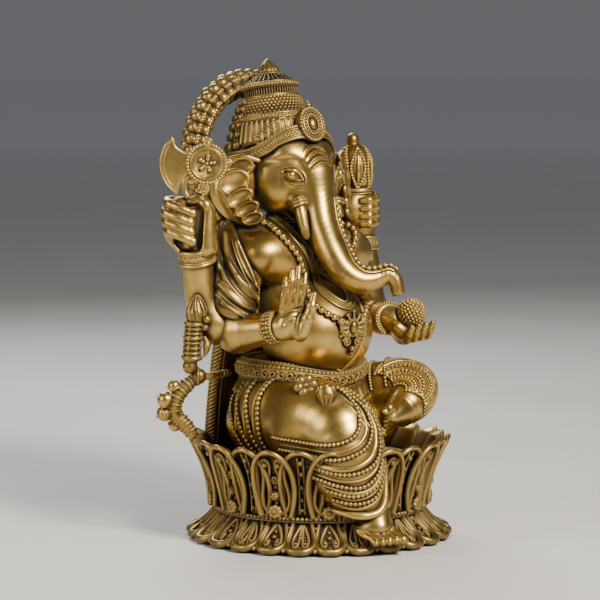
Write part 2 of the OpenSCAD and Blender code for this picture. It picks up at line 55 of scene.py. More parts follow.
# ---- places shared with the design, in mm ------------------------------------------------------
SEAT_Z = 46.0                              # top of the lotus, under the figure
WAIST_Z = 19.0                             # line between the tall petals and the low ones
WAIST_R = 60.0
TIP_Z = 57.0                               # tips of the tall petals
RIM_R = 74.0                               # reach of the low petals
PETALS = 13
FIRST_PETAL = math.radians(-153)
HALO_AT = np.array([0, 64, 219.0])
HALO_R = 40.0
CROWN_AT = np.array([-1.5, 36, 221.5])
CROWN_LEAN = math.radians(10)
AXE_EYE = np.array([-71, 13, 215.0])       # middle of the axe's round boss
AXE_LOW = np.array([-79, 22, 168.0])       # foot of its handle

# ---- directions as the camera sees them --------------------------------------------------------
VIEW_TURN = math.radians(-40)
SIDEWAYS = np.array([math.cos(VIEW_TURN), math.sin(VIEW_TURN), 0])    # level, to the right
FACING = np.array([math.sin(VIEW_TURN), -math.cos(VIEW_TURN), 0])     # level, towards the camera
UP = np.array([0, 0, 1.0])


def seen(right, up, toward):
    """A place given as the camera sees it, measured from the origin."""
    return right * SIDEWAYS + up * UP + toward * FACING


# ---- camera ------------------------------------------------------------------------------------
def add_camera():
    """Long lens, level with the crown's top, on the figure's right and looking a little down."""
    distance, height, pitch, aside = 1500.0, 272.0, math.radians(5.2), -11.0
    camera = bpy.data.objects.new("camera", bpy.data.cameras.new("camera"))
    bpy.context.collection.objects.link(camera)
    camera.location = Vector(seen(aside, height, distance) * MM)
    camera.rotation_euler = (math.pi / 2 - pitch, 0, VIEW_TURN)
    camera.data.sensor_width = 36
    camera.data.lens = 157.9
    camera.data.clip_start = 0.05
    bpy.context.scene.camera = camera


add_camera()


# ---- small vector tools ------------------------------------------------------------------------
def vec(*values):
    return np.array(values, float)


def xyz(x, y, z):
    """Points from their coordinates, each an array or one number for all."""
    return np.stack(np.broadcast_arrays(x, y, z), -1)


def full_turn(count):
    """Angles evenly round a circle."""
    return np.linspace(0, 2 * math.pi, count, endpoint=False)


def taper(count, at, sizes):
    """Sizes along a line of count points, given at a few parts of its length."""
    return np.interp(np.linspace(0, 1, count), at, sizes)


def clamp(value):
    return np.clip(value, 0, 1)


def unit(v):
    v = np.asarray(v, float)
    return v / np.maximum(np.linalg.norm(v, axis=-1, keepdims=True), 1e-9)


def smooth_path(points, count, closed=False):
    """Catmull-Rom curve through the points (rows of any width), sampled evenly by its parameter."""
    p = np.asarray(points, float)
    n = len(p)
    if closed:
        p = np.vstack([p[-1], p, p[0], p[1]])
        spans = n
    else:
        p = np.vstack([2 * p[0] - p[1], p, 2 * p[-1] - p[-2]])
        spans = n - 1
    s = np.linspace(0, spans, count, endpoint=not closed)
    i = np.minimum(s.astype(int), spans - 1)
    t = (s - i)[:, None]
    a, b, c, d = p[i], p[i + 1], p[i + 2], p[i + 3]
    return 0.5 * (2 * b + (c - a) * t + (2 * a - 5 * b + 4 * c - d) * t**2 + (3 * b - a - 3 * c + d) * t**3)


def evenly(path, gap=None, count=None, closed=False):
    """Points along a polyline at an even spacing."""
    p = np.asarray(path, float)
    if closed:
        p = np.vstack([p, p[:1]])
    step = np.linalg.norm(np.diff(p, axis=0), axis=1)
    run = np.concatenate([[0], np.cumsum(step)])
    count = count or max(2, int(round(run[-1] / gap)) + (0 if closed else 1))
    at = np.linspace(0, run[-1], count, endpoint=not closed)
    return np.stack([np.interp(at, run, p[:, k]) for k in range(p.shape[1])], axis=1)


def frames_along(path, closed=False, up=None):
    """Tangent, side and top at each point of a path, with little twist."""
    p = np.asarray(path, float)
    if closed:
        tangent = unit(np.roll(p, -1, 0) - np.roll(p, 1, 0))
    else:
        tangent = unit(np.gradient(p, axis=0))
    if up is not None:
        tops = np.broadcast_to(np.asarray(up, float), p.shape)
        side = unit(np.cross(tangent, tops))
        return tangent, side, np.cross(side, tangent)
    first = np.eye(3)[np.argmin(np.abs(tangent[0]))]
    side = np.zeros_like(p)
    last = unit(np.cross(tangent[0], first))
    for i, t in enumerate(tangent):
        last = unit(last - t * (last @ t))
        side[i] = last
    return tangent, side, np.cross(side, tangent)


# ---- meshes ------------------------------------------------------------------------------------
def sphere_shape(level):
    """Unit icosphere as vertices and triangles."""
    g = (1 + 5**0.5) / 2
    v = [(-1, g, 0), (1, g, 0), (-1, -g, 0), (1, -g, 0), (0, -1, g), (0, 1, g),
         (0, -1, -g), (0, 1, -g), (g, 0, -1), (g, 0, 1), (-g, 0, -1), (-g, 0, 1)]
    f = [(0, 11, 5), (0, 5, 1), (0, 1, 7), (0, 7, 10), (0, 10, 11), (1, 5, 9), (5, 11, 4),
         (11, 10, 2), (10, 7, 6), (7, 1, 8), (3, 9, 4), (3, 4, 2), (3, 2, 6), (3, 6, 8),
         (3, 8, 9), (4, 9, 5), (2, 4, 11), (6, 2, 10), (8, 6, 7), (9, 8, 1)]
    v = [unit(vec(*p)) for p in v]
    for _ in range(level):
        middles, finer = {}, []

        def middle(a, b):
            key = (min(a, b), max(a, b))
            if key not in middles:
                middles[key] = len(v)
                v.append(unit(v[a] + v[b]))
            return middles[key]

        for a, b, c in f:
            ab, bc, ca = middle(a, b), middle(b, c), middle(c, a)
            finer += [(a, ab, ca), (b, bc, ab), (c, ca, bc), (ab, bc, ca)]
        f = finer
    return np.array(v), np.array(f)


SPHERES = {level: sphere_shape(level) for level in (1, 2, 3)}


class Parts:
    """Loose mesh parts, gathered into one Blender object."""

    def __init__(self):
        self.verts, self.quads, self.tris, self.count = [], [], [], 0

    def add(self, verts, quads=None, tris=None):
        if quads is not None and len(quads):
            self.quads.append(np.asarray(quads) + self.count)
        if tris is not None and len(tris):
            self.tris.append(np.asarray(tris) + self.count)
        self.verts.append(np.asarray(verts, float))
        self.count += len(verts)

    def include(self, other, move=None):
        """Adds another Parts, moved by a function of its points."""
        verts = np.vstack(other.verts)
        self.add(move(verts) if move else verts,
                 np.vstack(other.quads) if other.quads else None,
                 np.vstack(other.tris) if other.tris else None)

    def balls(self, centres, radius, level=2, squash=None, axis=None):
        """Beads; squash flattens each along its own axis."""
        centres = np.atleast_2d(centres)
        radius = np.broadcast_to(np.asarray(radius, float), (len(centres),))
        v, f = SPHERES[level]
        if squash is None:
            shape = np.broadcast_to(v, (len(centres),) + v.shape)
        else:
            axis = unit(np.broadcast_to(np.asarray(axis, float), centres.shape))
            along = v @ axis.T
            shape = v[None] + (squash - 1) * along.T[:, :, None] * axis[:, None, :]
        verts = centres[:, None, :] + shape * radius[:, None, None]
        tris = f[None] + (np.arange(len(centres)) * len(v))[:, None, None]
        self.add(verts.reshape(-1, 3), tris=tris.reshape(-1, 3))

    def tube(self, path, radius, sides=8, closed=False, flat=1.0, up=None):
        """Swept tube with rounded ends; flat squashes it along its top direction."""
        p = np.asarray(path, float)
        radius = np.broadcast_to(np.asarray(radius, float), (len(p),)).copy()
        if not closed:
            t = unit(p[1] - p[0])
            e = unit(p[-1] - p[-2])
            p = np.vstack([p[0] - t * radius[0] * 0.75, p[0] - t * radius[0] * 0.45, p,
                           p[-1] + e * radius[-1] * 0.45, p[-1] + e * radius[-1] * 0.75])
            radius = np.concatenate([[radius[0] * 0.25, radius[0] * 0.75], radius,
                                     [radius[-1] * 0.75, radius[-1] * 0.25]])
            if up is not None and np.ndim(up) == 2:
                up = np.vstack([up[:1], up[:1], up, up[-1:], up[-1:]])
        _, side, top = frames_along(p, closed, up)
        angle = full_turn(sides)
        across = np.cos(angle)[None, :, None] * side[:, None]
        ring = across + flat * np.sin(angle)[None, :, None] * top[:, None]
        verts = (p[:, None] + ring * radius[:, None, None]).reshape(-1, 3)
        n = len(p)
        rows = np.arange(n if closed else n - 1)[:, None]
        k = np.arange(sides)[None]
        a, b = rows * sides + k, rows * sides + (k + 1) % sides
        c, d = ((rows + 1) % n) * sides + (k + 1) % sides, ((rows + 1) % n) * sides + k
        quads = np.stack([a, d, c, b], -1).reshape(-1, 4)
        tris = []
        if not closed:
            ends = np.array([p[0], p[-1]])
            verts = np.vstack([verts, ends])
            for j in range(sides):
                tris.append((n * sides, (j + 1) % sides, j))
                tris.append((n * sides + 1, (n - 1) * sides + j, (n - 1) * sides + (j + 1) % sides))
            tris = [(t0, t2, t1) for t0, t1, t2 in tris]
        self.add(verts, quads, tris or None)

    def sheet(self, grid, thick=0.0, closed_u=False):
        """Surface over a grid of points [i, j, xyz]; thick closes it into a shell, behind its face."""
        g = np.asarray(grid, float)
        n, m = g.shape[:2]
        i, j = np.meshgrid(np.arange(n if closed_u else n - 1), np.arange(m - 1), indexing="ij")
        ni = (i + 1) % n
        face = np.stack([i * m + j, ni * m + j, ni * m + j + 1, i * m + j + 1], -1).reshape(-1, 4)
        if not thick:
            self.add(g.reshape(-1, 3), face)
            return
        if closed_u:
            du = np.roll(g, -1, 0) - np.roll(g, 1, 0)
        else:
            du = np.gradient(g, axis=0)
        normal = unit(np.cross(du, np.gradient(g, axis=1)))
        back = g - normal * thick
        quads = [face, face[:, ::-1] + n * m]
        for row, flip in ((0, False), (m - 1, True)):
            ii = np.arange(n if closed_u else n - 1)
            e = np.stack([ii * m + row, ii * m + row + n * m,
                          ((ii + 1) % n) * m + row + n * m, ((ii + 1) % n) * m + row], -1)
            quads.append(e[:, ::-1] if flip else e)
        if not closed_u:
            for col, flip in ((0, True), (n - 1, False)):
                jj = np.arange(m - 1)
                e = np.stack([col * m + jj, col * m + jj + n * m, col * m + jj + 1 + n * m,
                              col * m + jj + 1], -1)
                quads.append(e[:, ::-1] if flip else e)
        self.add(np.vstack([g.reshape(-1, 3), back.reshape(-1, 3)]), np.vstack(quads))

    def lathe(self, profile, steps=96, place=None, relief=None, samples=None):
        """Turned shape: profile rows are (radius, height); relief(angle, height) raises its skin."""
        prof = np.asarray(profile, float)
        if samples:
            prof = evenly(prof, count=samples)
        angle = full_turn(steps)[:, None]
        r = np.broadcast_to(prof[None, :, 0], (steps, len(prof))).copy()
        h = np.broadcast_to(prof[None, :, 1], (steps, len(prof))).copy()
        if relief:
            d = np.gradient(prof, axis=0)
            n = unit(np.stack([d[:, 1], -d[:, 0]], 1))
            lift = relief(angle, h)
            r = r + lift * n[None, :, 0]
            h = h + lift * n[None, :, 1]
        r = np.maximum(r, 0.02)
        grid = xyz(r * np.cos(angle), r * np.sin(angle), h)
        if place:
            grid = place(grid)
        self.sheet(grid, closed_u=True)

    def object(self, name, nodes, slot="cast_brass", finish=None):
        """A smooth-shaded piece that rides on the one body and stands for the named CAD nodes."""
        quads = np.vstack(self.quads) if self.quads else np.zeros((0, 4), int)
        tris = np.vstack(self.tris) if self.tris else np.zeros((0, 3), int)
        verts = np.vstack(self.verts)
        mesh = bpy.data.meshes.new(name)
        mesh.vertices.add(len(verts))
        mesh.vertices.foreach_set("co", (verts.astype(np.float32) * MM).ravel())
        mesh.loops.add(len(quads) * 4 + len(tris) * 3)
        corners = np.concatenate([quads.ravel(), tris.ravel()])
        mesh.loops.foreach_set("vertex_index", corners.astype(np.int32))
        mesh.polygons.add(len(quads) + len(tris))
        starts = np.concatenate([np.arange(len(quads)) * 4, len(quads) * 4 + np.arange(len(tris)) * 3])
        mesh.polygons.foreach_set("loop_start", starts.astype(np.int32))
        mesh.update(calc_edges=True)
        mesh.validate()
        mesh.polygons.foreach_set("use_smooth", np.ones(len(mesh.polygons), bool))
        # ornate pieces take the darker brass, with more patina and painted shade
        chased = slot == "cast_brass" and name.startswith(CHASED)
        mesh.materials.append(MATERIALS[finish or ("ornate_brass_patina_and_shade" if chased else slot)])
        obj = bpy.data.objects.new(name, mesh)
        bpy.context.collection.objects.link(obj)
        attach(obj, "root")
        if nodes:
            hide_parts(*nodes)


# starts of the names of the ornate pieces, which take a darker copy of the brass: more patina and more
# painted shade
CHASED = ("upper_petals", "upper_lotus", "lower_petals", "lower_lotus", "crown", "halo", "belt",
          "back_mantle", "pendant", "collar", "side_garland", "shawl")


# ---- clay: organic forms as distance fields ------------------------------------------------------
def soft_min(a, b, k):
    """The smaller of two distances, with a fillet of about k where they meet."""
    if k <= 0:
        return np.minimum(a, b)
    h = clamp(0.5 + 0.5 * (b - a) / k)
    return b + (a - b) * h - k * h * (1 - h)


def bar_distance(x, y, z, a, b, ra, rb):
    """Distance to a rounded bar whose radius runs from ra to rb."""
    ab = b - a
    t = ((x - a[0]) * ab[0] + (y - a[1]) * ab[1] + (z - a[2]) * ab[2]) / max(ab @ ab, 1e-6)
    t = clamp(t)
    d = np.sqrt((x - a[0] - t * ab[0])**2 + (y - a[1] - t * ab[1])**2 + (z - a[2] - t * ab[2])**2)
    return d - (ra + (rb - ra) * t)


class Clay:
    """Distances to a surface, on a grid of points."""

    def __init__(self, low, high, cell):
        self.low, self.cell = vec(*low), cell * FINE
        counts = np.ceil((vec(*high) - self.low) / self.cell).astype(int) + 1
        self.field = np.full(counts, FAR, np.float32)
        self.axes = [(self.low[i] + self.cell * np.arange(counts[i])).astype(np.float32) for i in range(3)]

    def window(self, low, high):
        cut = tuple(slice(np.searchsorted(self.axes[i], low[i]), np.searchsorted(self.axes[i], high[i]))
                    for i in range(3))
        x, y, z = (self.axes[i][cut[i]] for i in range(3))
        return cut, x[:, None, None], y[None, :, None], z[None, None, :]

    def _blend(self, cut, d, soft, carve):
        old = self.field[cut]
        if old.size == 0:
            return
        if carve:
            self.field[cut] = -soft_min(-old, d, soft)
        else:
            self.field[cut] = soft_min(old, d, soft)

    def limb(self, points, radii, soft=0.0, carve=False, bars=None):
        """A tapering limb along a smooth path."""
        p = np.asarray(points, float)
        rows = np.hstack([p, np.broadcast_to(np.asarray(radii, float), (len(p),))[:, None]])
        if bars is None:
            bars = max(1, (len(p) - 1) * (4 if len(p) > 2 else 1))
        path = smooth_path(rows, bars + 1) if len(p) > 2 else rows
        reach = path[:, 3].max() + soft + 6
        cut, x, y, z = self.window(path[:, :3].min(0) - reach, path[:, :3].max(0) + reach)
        d = None
        for a, b in zip(path[:-1], path[1:]):
            one = bar_distance(x, y, z, a[:3], b[:3], a[3], b[3])
            d = one if d is None else np.minimum(d, one)
        self._blend(cut, d, soft, carve)

    def lump(self, centre, radii, soft=0.0, carve=False, turn=(0, 0, 0)):
        """An ellipsoid, turned by angles in degrees about X, Y and Z."""
        c, r = vec(*centre), vec(*radii)
        reach = r.max() + soft + 4
        cut, x, y, z = self.window(c - reach, c + reach)
        about = [Matrix.Rotation(math.radians(angle), 3, axis) for angle, axis in zip(turn, "XYZ")]
        m = np.array(about[2] @ about[1] @ about[0]).T
        x, y, z = x - c[0], y - c[1], z - c[2]
        u = [m[i, 0] * x + m[i, 1] * y + m[i, 2] * z for i in range(3)]
        k0 = np.sqrt(sum((u[i] / r[i])**2 for i in range(3)))
        k1 = np.sqrt(sum((u[i] / r[i]**2)**2 for i in range(3)))
        self._blend(cut, k0 * (k0 - 1) / np.maximum(k1, 1e-5), soft, carve)

    def relief(self, height, low, high):
        """Raises the skin by height(x, y, z), between two corners."""
        cut, x, y, z = self.window(low, high)
        self.field[cut] -= height(x, y, z).astype(np.float32)

    def slice(self, point, normal, soft=0.0):
        """Cuts away everything on the side that the normal points to."""
        n, p = unit(vec(*normal)), vec(*point)
        cut, x, y, z = self.window(self.low, self.low + 1e4)
        d = n[0] * (x - p[0]) + n[1] * (y - p[1]) + n[2] * (z - p[2])
        self.field[cut] = -soft_min(-self.field[cut], -d, soft)

    def at(self, points):
        """Distance at each point, read from the grid."""
        q = (np.asarray(points, float) - self.low) / self.cell
        top = np.array(self.field.shape) - 2
        inside = np.all((q >= 0) & (q <= top), axis=-1)
        q = np.clip(q, 0, top)
        i = q.astype(int)
        f = q - i
        out = 0
        for dx in (0, 1):
            for dy in (0, 1):
                for dz in (0, 1):
                    w = (np.abs(1 - dx - f[..., 0]) * np.abs(1 - dy - f[..., 1])
                         * np.abs(1 - dz - f[..., 2]))
                    out = out + w * self.field[i[..., 0] + dx, i[..., 1] + dy, i[..., 2] + dz]
        return np.where(inside, out, FAR)

    def normal(self, points):
        e = self.cell
        p = np.asarray(points, float)
        return unit(np.stack([self.at(p + e * axis) - self.at(p - e * axis) for axis in np.eye(3)], -1))

    def parts(self):
        grid = openvdb.FloatGrid(3 * self.cell)
        grid.copyFromArray(np.clip(self.field, -3 * self.cell, 3 * self.cell))
        grid.transform = openvdb.createLinearTransform(voxelSize=self.cell)
        points, quads = grid.convertToQuads()
        return points + self.low, quads[:, ::-1]


def land(clays, starts, ways, lift=0.0, reach=70.0, step=0.4):
    """Sends rays from the starts along the ways onto clay; gives the points and the outward normals."""
    if not isinstance(clays, (list, tuple)):
        clays = [clays]
    p = np.atleast_2d(np.asarray(starts, float))
    way = unit(np.broadcast_to(np.asarray(ways, float), p.shape))
    s = np.arange(0, reach, step)
    walk = p[:, None, :] + way[:, None, :] * s[None, :, None]
    d = np.min([c.at(walk) for c in clays], axis=0)
    hit = d < 0
    first = np.where(hit.any(1), hit.argmax(1), np.abs(d).argmin(1))
    first = np.maximum(first, 1)
    rows = np.arange(len(p))
    d0, d1 = d[rows, first - 1], d[rows, first]
    frac = clamp(d0 / np.where(np.abs(d0 - d1) < 1e-6, 1, d0 - d1))
    q = p + way * ((first - 1 + frac) * step)[:, None]
    owner = np.argmin([np.abs(c.at(q)) for c in clays], axis=0)
    normals = np.stack([c.normal(q) for c in clays])[owner, rows]
    return q + normals * lift, normals


# ---- materials ---------------------------------------------------------------------------------
class Nodes:
    """A few shortcuts for building a node material."""

    def __init__(self, name):
        self.material = bpy.data.materials.new(name)
        self.material.use_nodes = True
        self.tree = self.material.node_tree
        self.shader = self.tree.nodes["Principled BSDF"]
        coord = self.tree.nodes.new("ShaderNodeTexCoord")
        self.where = coord.outputs["Object"]

    def link(self, a, b):
        self.tree.links.new(a, b)

    def noise(self, scale, detail, rough):
        node = self.tree.nodes.new("ShaderNodeTexNoise")
        node.inputs["Scale"].default_value = scale
        node.inputs["Detail"].default_value = detail
        node.inputs["Roughness"].default_value = rough
        self.link(self.where, node.inputs["Vector"])
        return node.outputs["Fac"]

    def ramp(self, value, *stops):
        node = self.tree.nodes.new("ShaderNodeValToRGB")
        ramp = node.color_ramp
        while len(ramp.elements) < len(stops):
            ramp.elements.new(0.5)
        for element, (at, colour) in zip(ramp.elements, stops):
            element.position = at
            element.color = (*colour, 1) if isinstance(colour, tuple) else (colour, colour, colour, 1)
        self.link(value, node.inputs["Fac"])
        return node.outputs["Color"]

    def mix(self, amount, a, b):
        node = self.tree.nodes.new("ShaderNodeMix")
        node.data_type = "RGBA"
        for key, value in ((0, amount), (6, a), (7, b)):
            if isinstance(value, (int, float)):
                node.inputs[key].default_value = value if key == 0 else (value, value, value, 1)
            elif isinstance(value, tuple):
                node.inputs[key].default_value = (*value, 1)
            else:
                self.link(value, node.inputs[key])
        return node.outputs[2]

    def math(self, how, a, b, clamp=False):
        node = self.tree.nodes.new("ShaderNodeMath")
        node.operation = how
        node.use_clamp = clamp
        for key, value in ((0, a), (1, b)):
            if isinstance(value, (int, float)):
                node.inputs[key].default_value = value
            else:
                self.link(value, node.inputs[key])
        return node.outputs[0]

    def openness(self, reach_mm):
        """1 on open skin, towards 0 inside crevices."""
        node = self.tree.nodes.new("ShaderNodeAmbientOcclusion")
        node.samples = 8
        node.inputs["Distance"].default_value = reach_mm * MM
        return node.outputs["AO"]

    def edge(self):
        return self.tree.nodes.new("ShaderNodeNewGeometry").outputs["Pointiness"]

    def bump(self, height, depth_mm):
        node = self.tree.nodes.new("ShaderNodeBump")
        node.inputs["Distance"].default_value = depth_mm * MM
        node.inputs["Strength"].default_value = 1
        self.link(height, node.inputs["Height"])
        self.link(node.outputs["Normal"], self.shader.inputs["Normal"])


def brass(name, bright, warm, patina_and_shade_colour, hollow_patina_and_shade_ramp, broad_painted_shade_ramp, gloss):
    """Antique brass: burnished skin, dark patination and painted shade in the recesses, brighter worn edges.
    """
    n = Nodes(name)
    cloud = n.noise(38, 5, 0.62)
    speck = n.noise(420, 4, 0.7)
    drift = n.noise(95, 4, 0.55)
    # near and wide ambient occlusion, for the patina and painted shade in the hollows below
    deep = n.openness(4.0)
    wide = n.openness(14)
    edge = n.edge()
    skin = n.mix(n.ramp(cloud, (0.38, 0.0), (0.66, 1.0)), bright, warm)
    skin = n.mix(n.math("MULTIPLY", n.ramp(drift, (0.52, 0.0), (0.75, 1.0)), 0.35), skin,
                 (0.22, 0.13, 0.045))
    # painted shade: near and wide occlusion and hollows by pointiness pull the colour to the near-black
    # hollow colour; the near ramp is partly real patina, the wide one is broad painted shade
    clear_of_patina_and_shade = n.math("MULTIPLY", n.ramp(deep, *hollow_patina_and_shade_ramp), n.ramp(wide, *broad_painted_shade_ramp))
    clear_of_patina_and_shade = n.math("ADD", clear_of_patina_and_shade, n.math("MULTIPLY", n.math("SUBTRACT", speck, 0.5), 0.30), clamp=True)
    clear_of_patina_and_shade = n.math("MULTIPLY", clear_of_patina_and_shade, n.ramp(edge, (0.40, 0.25), (0.495, 1.0)))
    colour = n.mix(clear_of_patina_and_shade, patina_and_shade_colour, skin)
    polished = n.ramp(edge, (0.515, 0.0), (0.60, 1.0))
    colour = n.mix(n.math("MULTIPLY", polished, 0.55), colour, tuple(min(1, c * 1.25) for c in bright))
    n.link(colour, n.shader.inputs["Base Color"])
    n.link(n.ramp(clear_of_patina_and_shade, (0.0, 0.35), (0.5, 1.0)), n.shader.inputs["Metallic"])
    rough = n.math("ADD", n.math("MULTIPLY", n.ramp(clear_of_patina_and_shade, (0.0, 1.0), (1.0, 0.0)), 0.36), gloss)
    rough = n.math("ADD", rough, n.math("MULTIPLY", n.math("SUBTRACT", speck, 0.5), 0.22), clamp=True)
    n.link(rough, n.shader.inputs["Roughness"])
    grain = n.math("ADD", n.math("MULTIPLY", speck, 0.5), n.math("MULTIPLY", n.noise(1500, 2, 0.5), 0.25))
    n.bump(grain, 0.10)
    return n.material


def felt_material():
    n = Nodes("felt")
    fibre = n.noise(2600, 6, 0.75)
    n.link(n.ramp(fibre, (0.3, (0.008, 0.008, 0.009)), (0.7, (0.045, 0.044, 0.045))),
           n.shader.inputs["Base Color"])
    n.shader.inputs["Roughness"].default_value = 0.95
    n.shader.inputs["Sheen Weight"].default_value = 0.3
    n.bump(fibre, 0.25)
    return n.material


def steel_material():
    n = Nodes("steel")
    streak = n.noise(700, 3, 0.6)
    n.link(n.ramp(streak, (0.3, (0.42, 0.42, 0.43)), (0.7, (0.62, 0.62, 0.63))),
           n.shader.inputs["Base Color"])
    n.link(n.ramp(streak, (0.3, 0.25), (0.7, 0.42)), n.shader.inputs["Roughness"])
    n.shader.inputs["Metallic"].default_value = 1
    n.bump(streak, 0.03)
    return n.material


# near-black colour of the hollows: real patina and painted shade
PATINA_AND_SHADE = (0.012, 0.008, 0.004)
MATERIALS = {
    "cast_brass": brass("cast_brass", (0.62, 0.425, 0.125), (0.43, 0.265, 0.068), PATINA_AND_SHADE,
                        ((0.62, 0.0), (0.97, 1.0)),
                        ((0.30, 0.03), (0.84, 1.0)), gloss=0.32),
    # darker copy of the brass with stronger hollow ramps for the ornate pieces: patina plus painted shade
    "ornate_brass_patina_and_shade": brass("ornate_brass_patina_and_shade", (0.43, 0.29, 0.086), (0.26, 0.16, 0.044), PATINA_AND_SHADE,
                          ((0.77, 0.0), (1.0, 1.0)), ((0.34, 0.04), (0.95, 1.0)), gloss=0.36),
    # much darker copy of the brass for the sunken fields: patina plus painted shade
    "field_brass_patina_and_shade": brass("field_brass_patina_and_shade", (0.26, 0.165, 0.058), (0.15, 0.092, 0.034), PATINA_AND_SHADE,
                         ((0.30, 0.0), (0.90, 1.0)), ((0.10, 0.2), (0.65, 1.0)), gloss=0.40),
    "dark_brass": brass("dark_brass", (0.34, 0.24, 0.10), (0.25, 0.16, 0.06), PATINA_AND_SHADE,
                        ((0.62, 0.0), (0.97, 1.0)),
                        ((0.30, 0.03), (0.84, 1.0)), gloss=0.42),
    "steel": steel_material(),
    "felt": felt_material(),
}


# ---- stage -------------------------------------------------------------------------------------
def add_floor():
    bpy.ops.mesh.primitive_plane_add(size=60, location=(0, 0, 0))
    floor = bpy.context.object
    floor.name = "floor"
    n = Nodes("floor")
    near = n.ramp(n.noise(5, 4, 0.5), (0.3, (0.60, 0.585, 0.565)), (0.7, (0.66, 0.645, 0.625)))
    length = n.tree.nodes.new("ShaderNodeVectorMath")
    length.operation = "LENGTH"
    n.link(n.where, length.inputs[0])
    far = n.math("DIVIDE", length.outputs["Value"], 9.0, clamp=True)
    n.link(n.mix(n.ramp(far, (0.08, 0.0), (0.8, 1.0)), near, (0.97, 0.98, 1.0)),
           n.shader.inputs["Base Color"])
    n.shader.inputs["Roughness"].default_value = 0.6
    floor.data.materials.append(n.material)


def add_light(name, place, target, size, watts, colour=(1, 1, 1)):
    light = bpy.data.objects.new(name, bpy.data.lights.new(name, "AREA"))
    light.data.shape = "DISK"
    light.data.size = size
    light.data.energy = watts
    light.data.color = colour
    light.location = Vector(place)
    light.rotation_euler = (Vector(target) - Vector(place)).to_track_quat("-Z", "Y").to_euler()
    bpy.context.collection.objects.link(light)


def add_lights():
    world = bpy.data.worlds.new("studio")
    bpy.context.scene.world = world
    world.use_nodes = True
    world.node_tree.nodes["Background"].inputs["Color"].default_value = (0.88, 0.90, 0.95, 1)
    world.node_tree.nodes["Background"].inputs["Strength"].default_value = 0.15
    middle = (0, 0, 0.14)
    add_light("key", seen(0.60, 0.90, 0.80), middle, 0.38, 30, (1, 0.94, 0.82))
    add_light("fill", seen(-0.95, 0.55, 0.55), middle, 0.6, 6, (1, 0.94, 0.84))
    add_light("back", seen(-0.25, 0.85, -0.85), middle, 0.6, 9)


add_floor()
add_lights()


# ---- lotus base --------------------------------------------------------------------------------
def petal_width(t):
    """Half width of a tall petal at t from its foot (0) to its tip (1)."""
    lower = 9.4 + 3.6 * np.sin(clamp(t / 0.46) * math.pi / 2)
    upper = 13.0 * np.sqrt(clamp(1 - clamp((t - 0.46) / 0.54)**2.15))
    return np.where(t < 0.46, lower, upper)


def tall_petal_point(u, t, lift):
    """Place on a tall petal: u mm across, t along it, lift mm off its face. It flares and curls outwards."""
    radius = WAIST_R + 2.6 + 11.8 * t**2.3 + 0.010 * u * u * (0.25 + t)
    height = WAIST_Z + 1.2 + (TIP_Z - WAIST_Z - 0.4) * t
    slope = 11.8 * 2.3 * t**1.3 / (TIP_Z - WAIST_Z)
    scale = 1 / np.sqrt(1 + slope**2)
    radius = radius + lift * scale
    height = height - lift * slope * scale
    angle = u / (WAIST_R + 5 + 9 * t)
    return xyz(radius * np.cos(angle), radius * np.sin(angle), height)


def tube_on(parts, at, route, radius, samples=40, sides=6, lift=0.3, closed=False, **more):
    """A raised line on a surface at(u, t, lift), along a route of (u, t) points."""
    path = smooth_path(route, samples, closed)
    parts.tube(at(path[:, 0], path[:, 1], lift), radius, sides, closed=closed, **more)


def flower_on(parts, at, u, t, size, petals, along_mm):
    """Small rosette: a ring of squashed beads round a bead."""
    turn = full_turn(petals)
    ring = at(u + size * 0.62 * np.cos(turn), t + size * 0.62 * np.sin(turn) / along_mm, 0.45)
    parts.balls(ring, size * 0.36, 1)
    parts.balls(at(u, t, 0.9), size * 0.34)


def mirrored(route, side):
    return [(side * u, t) for u, t in route]


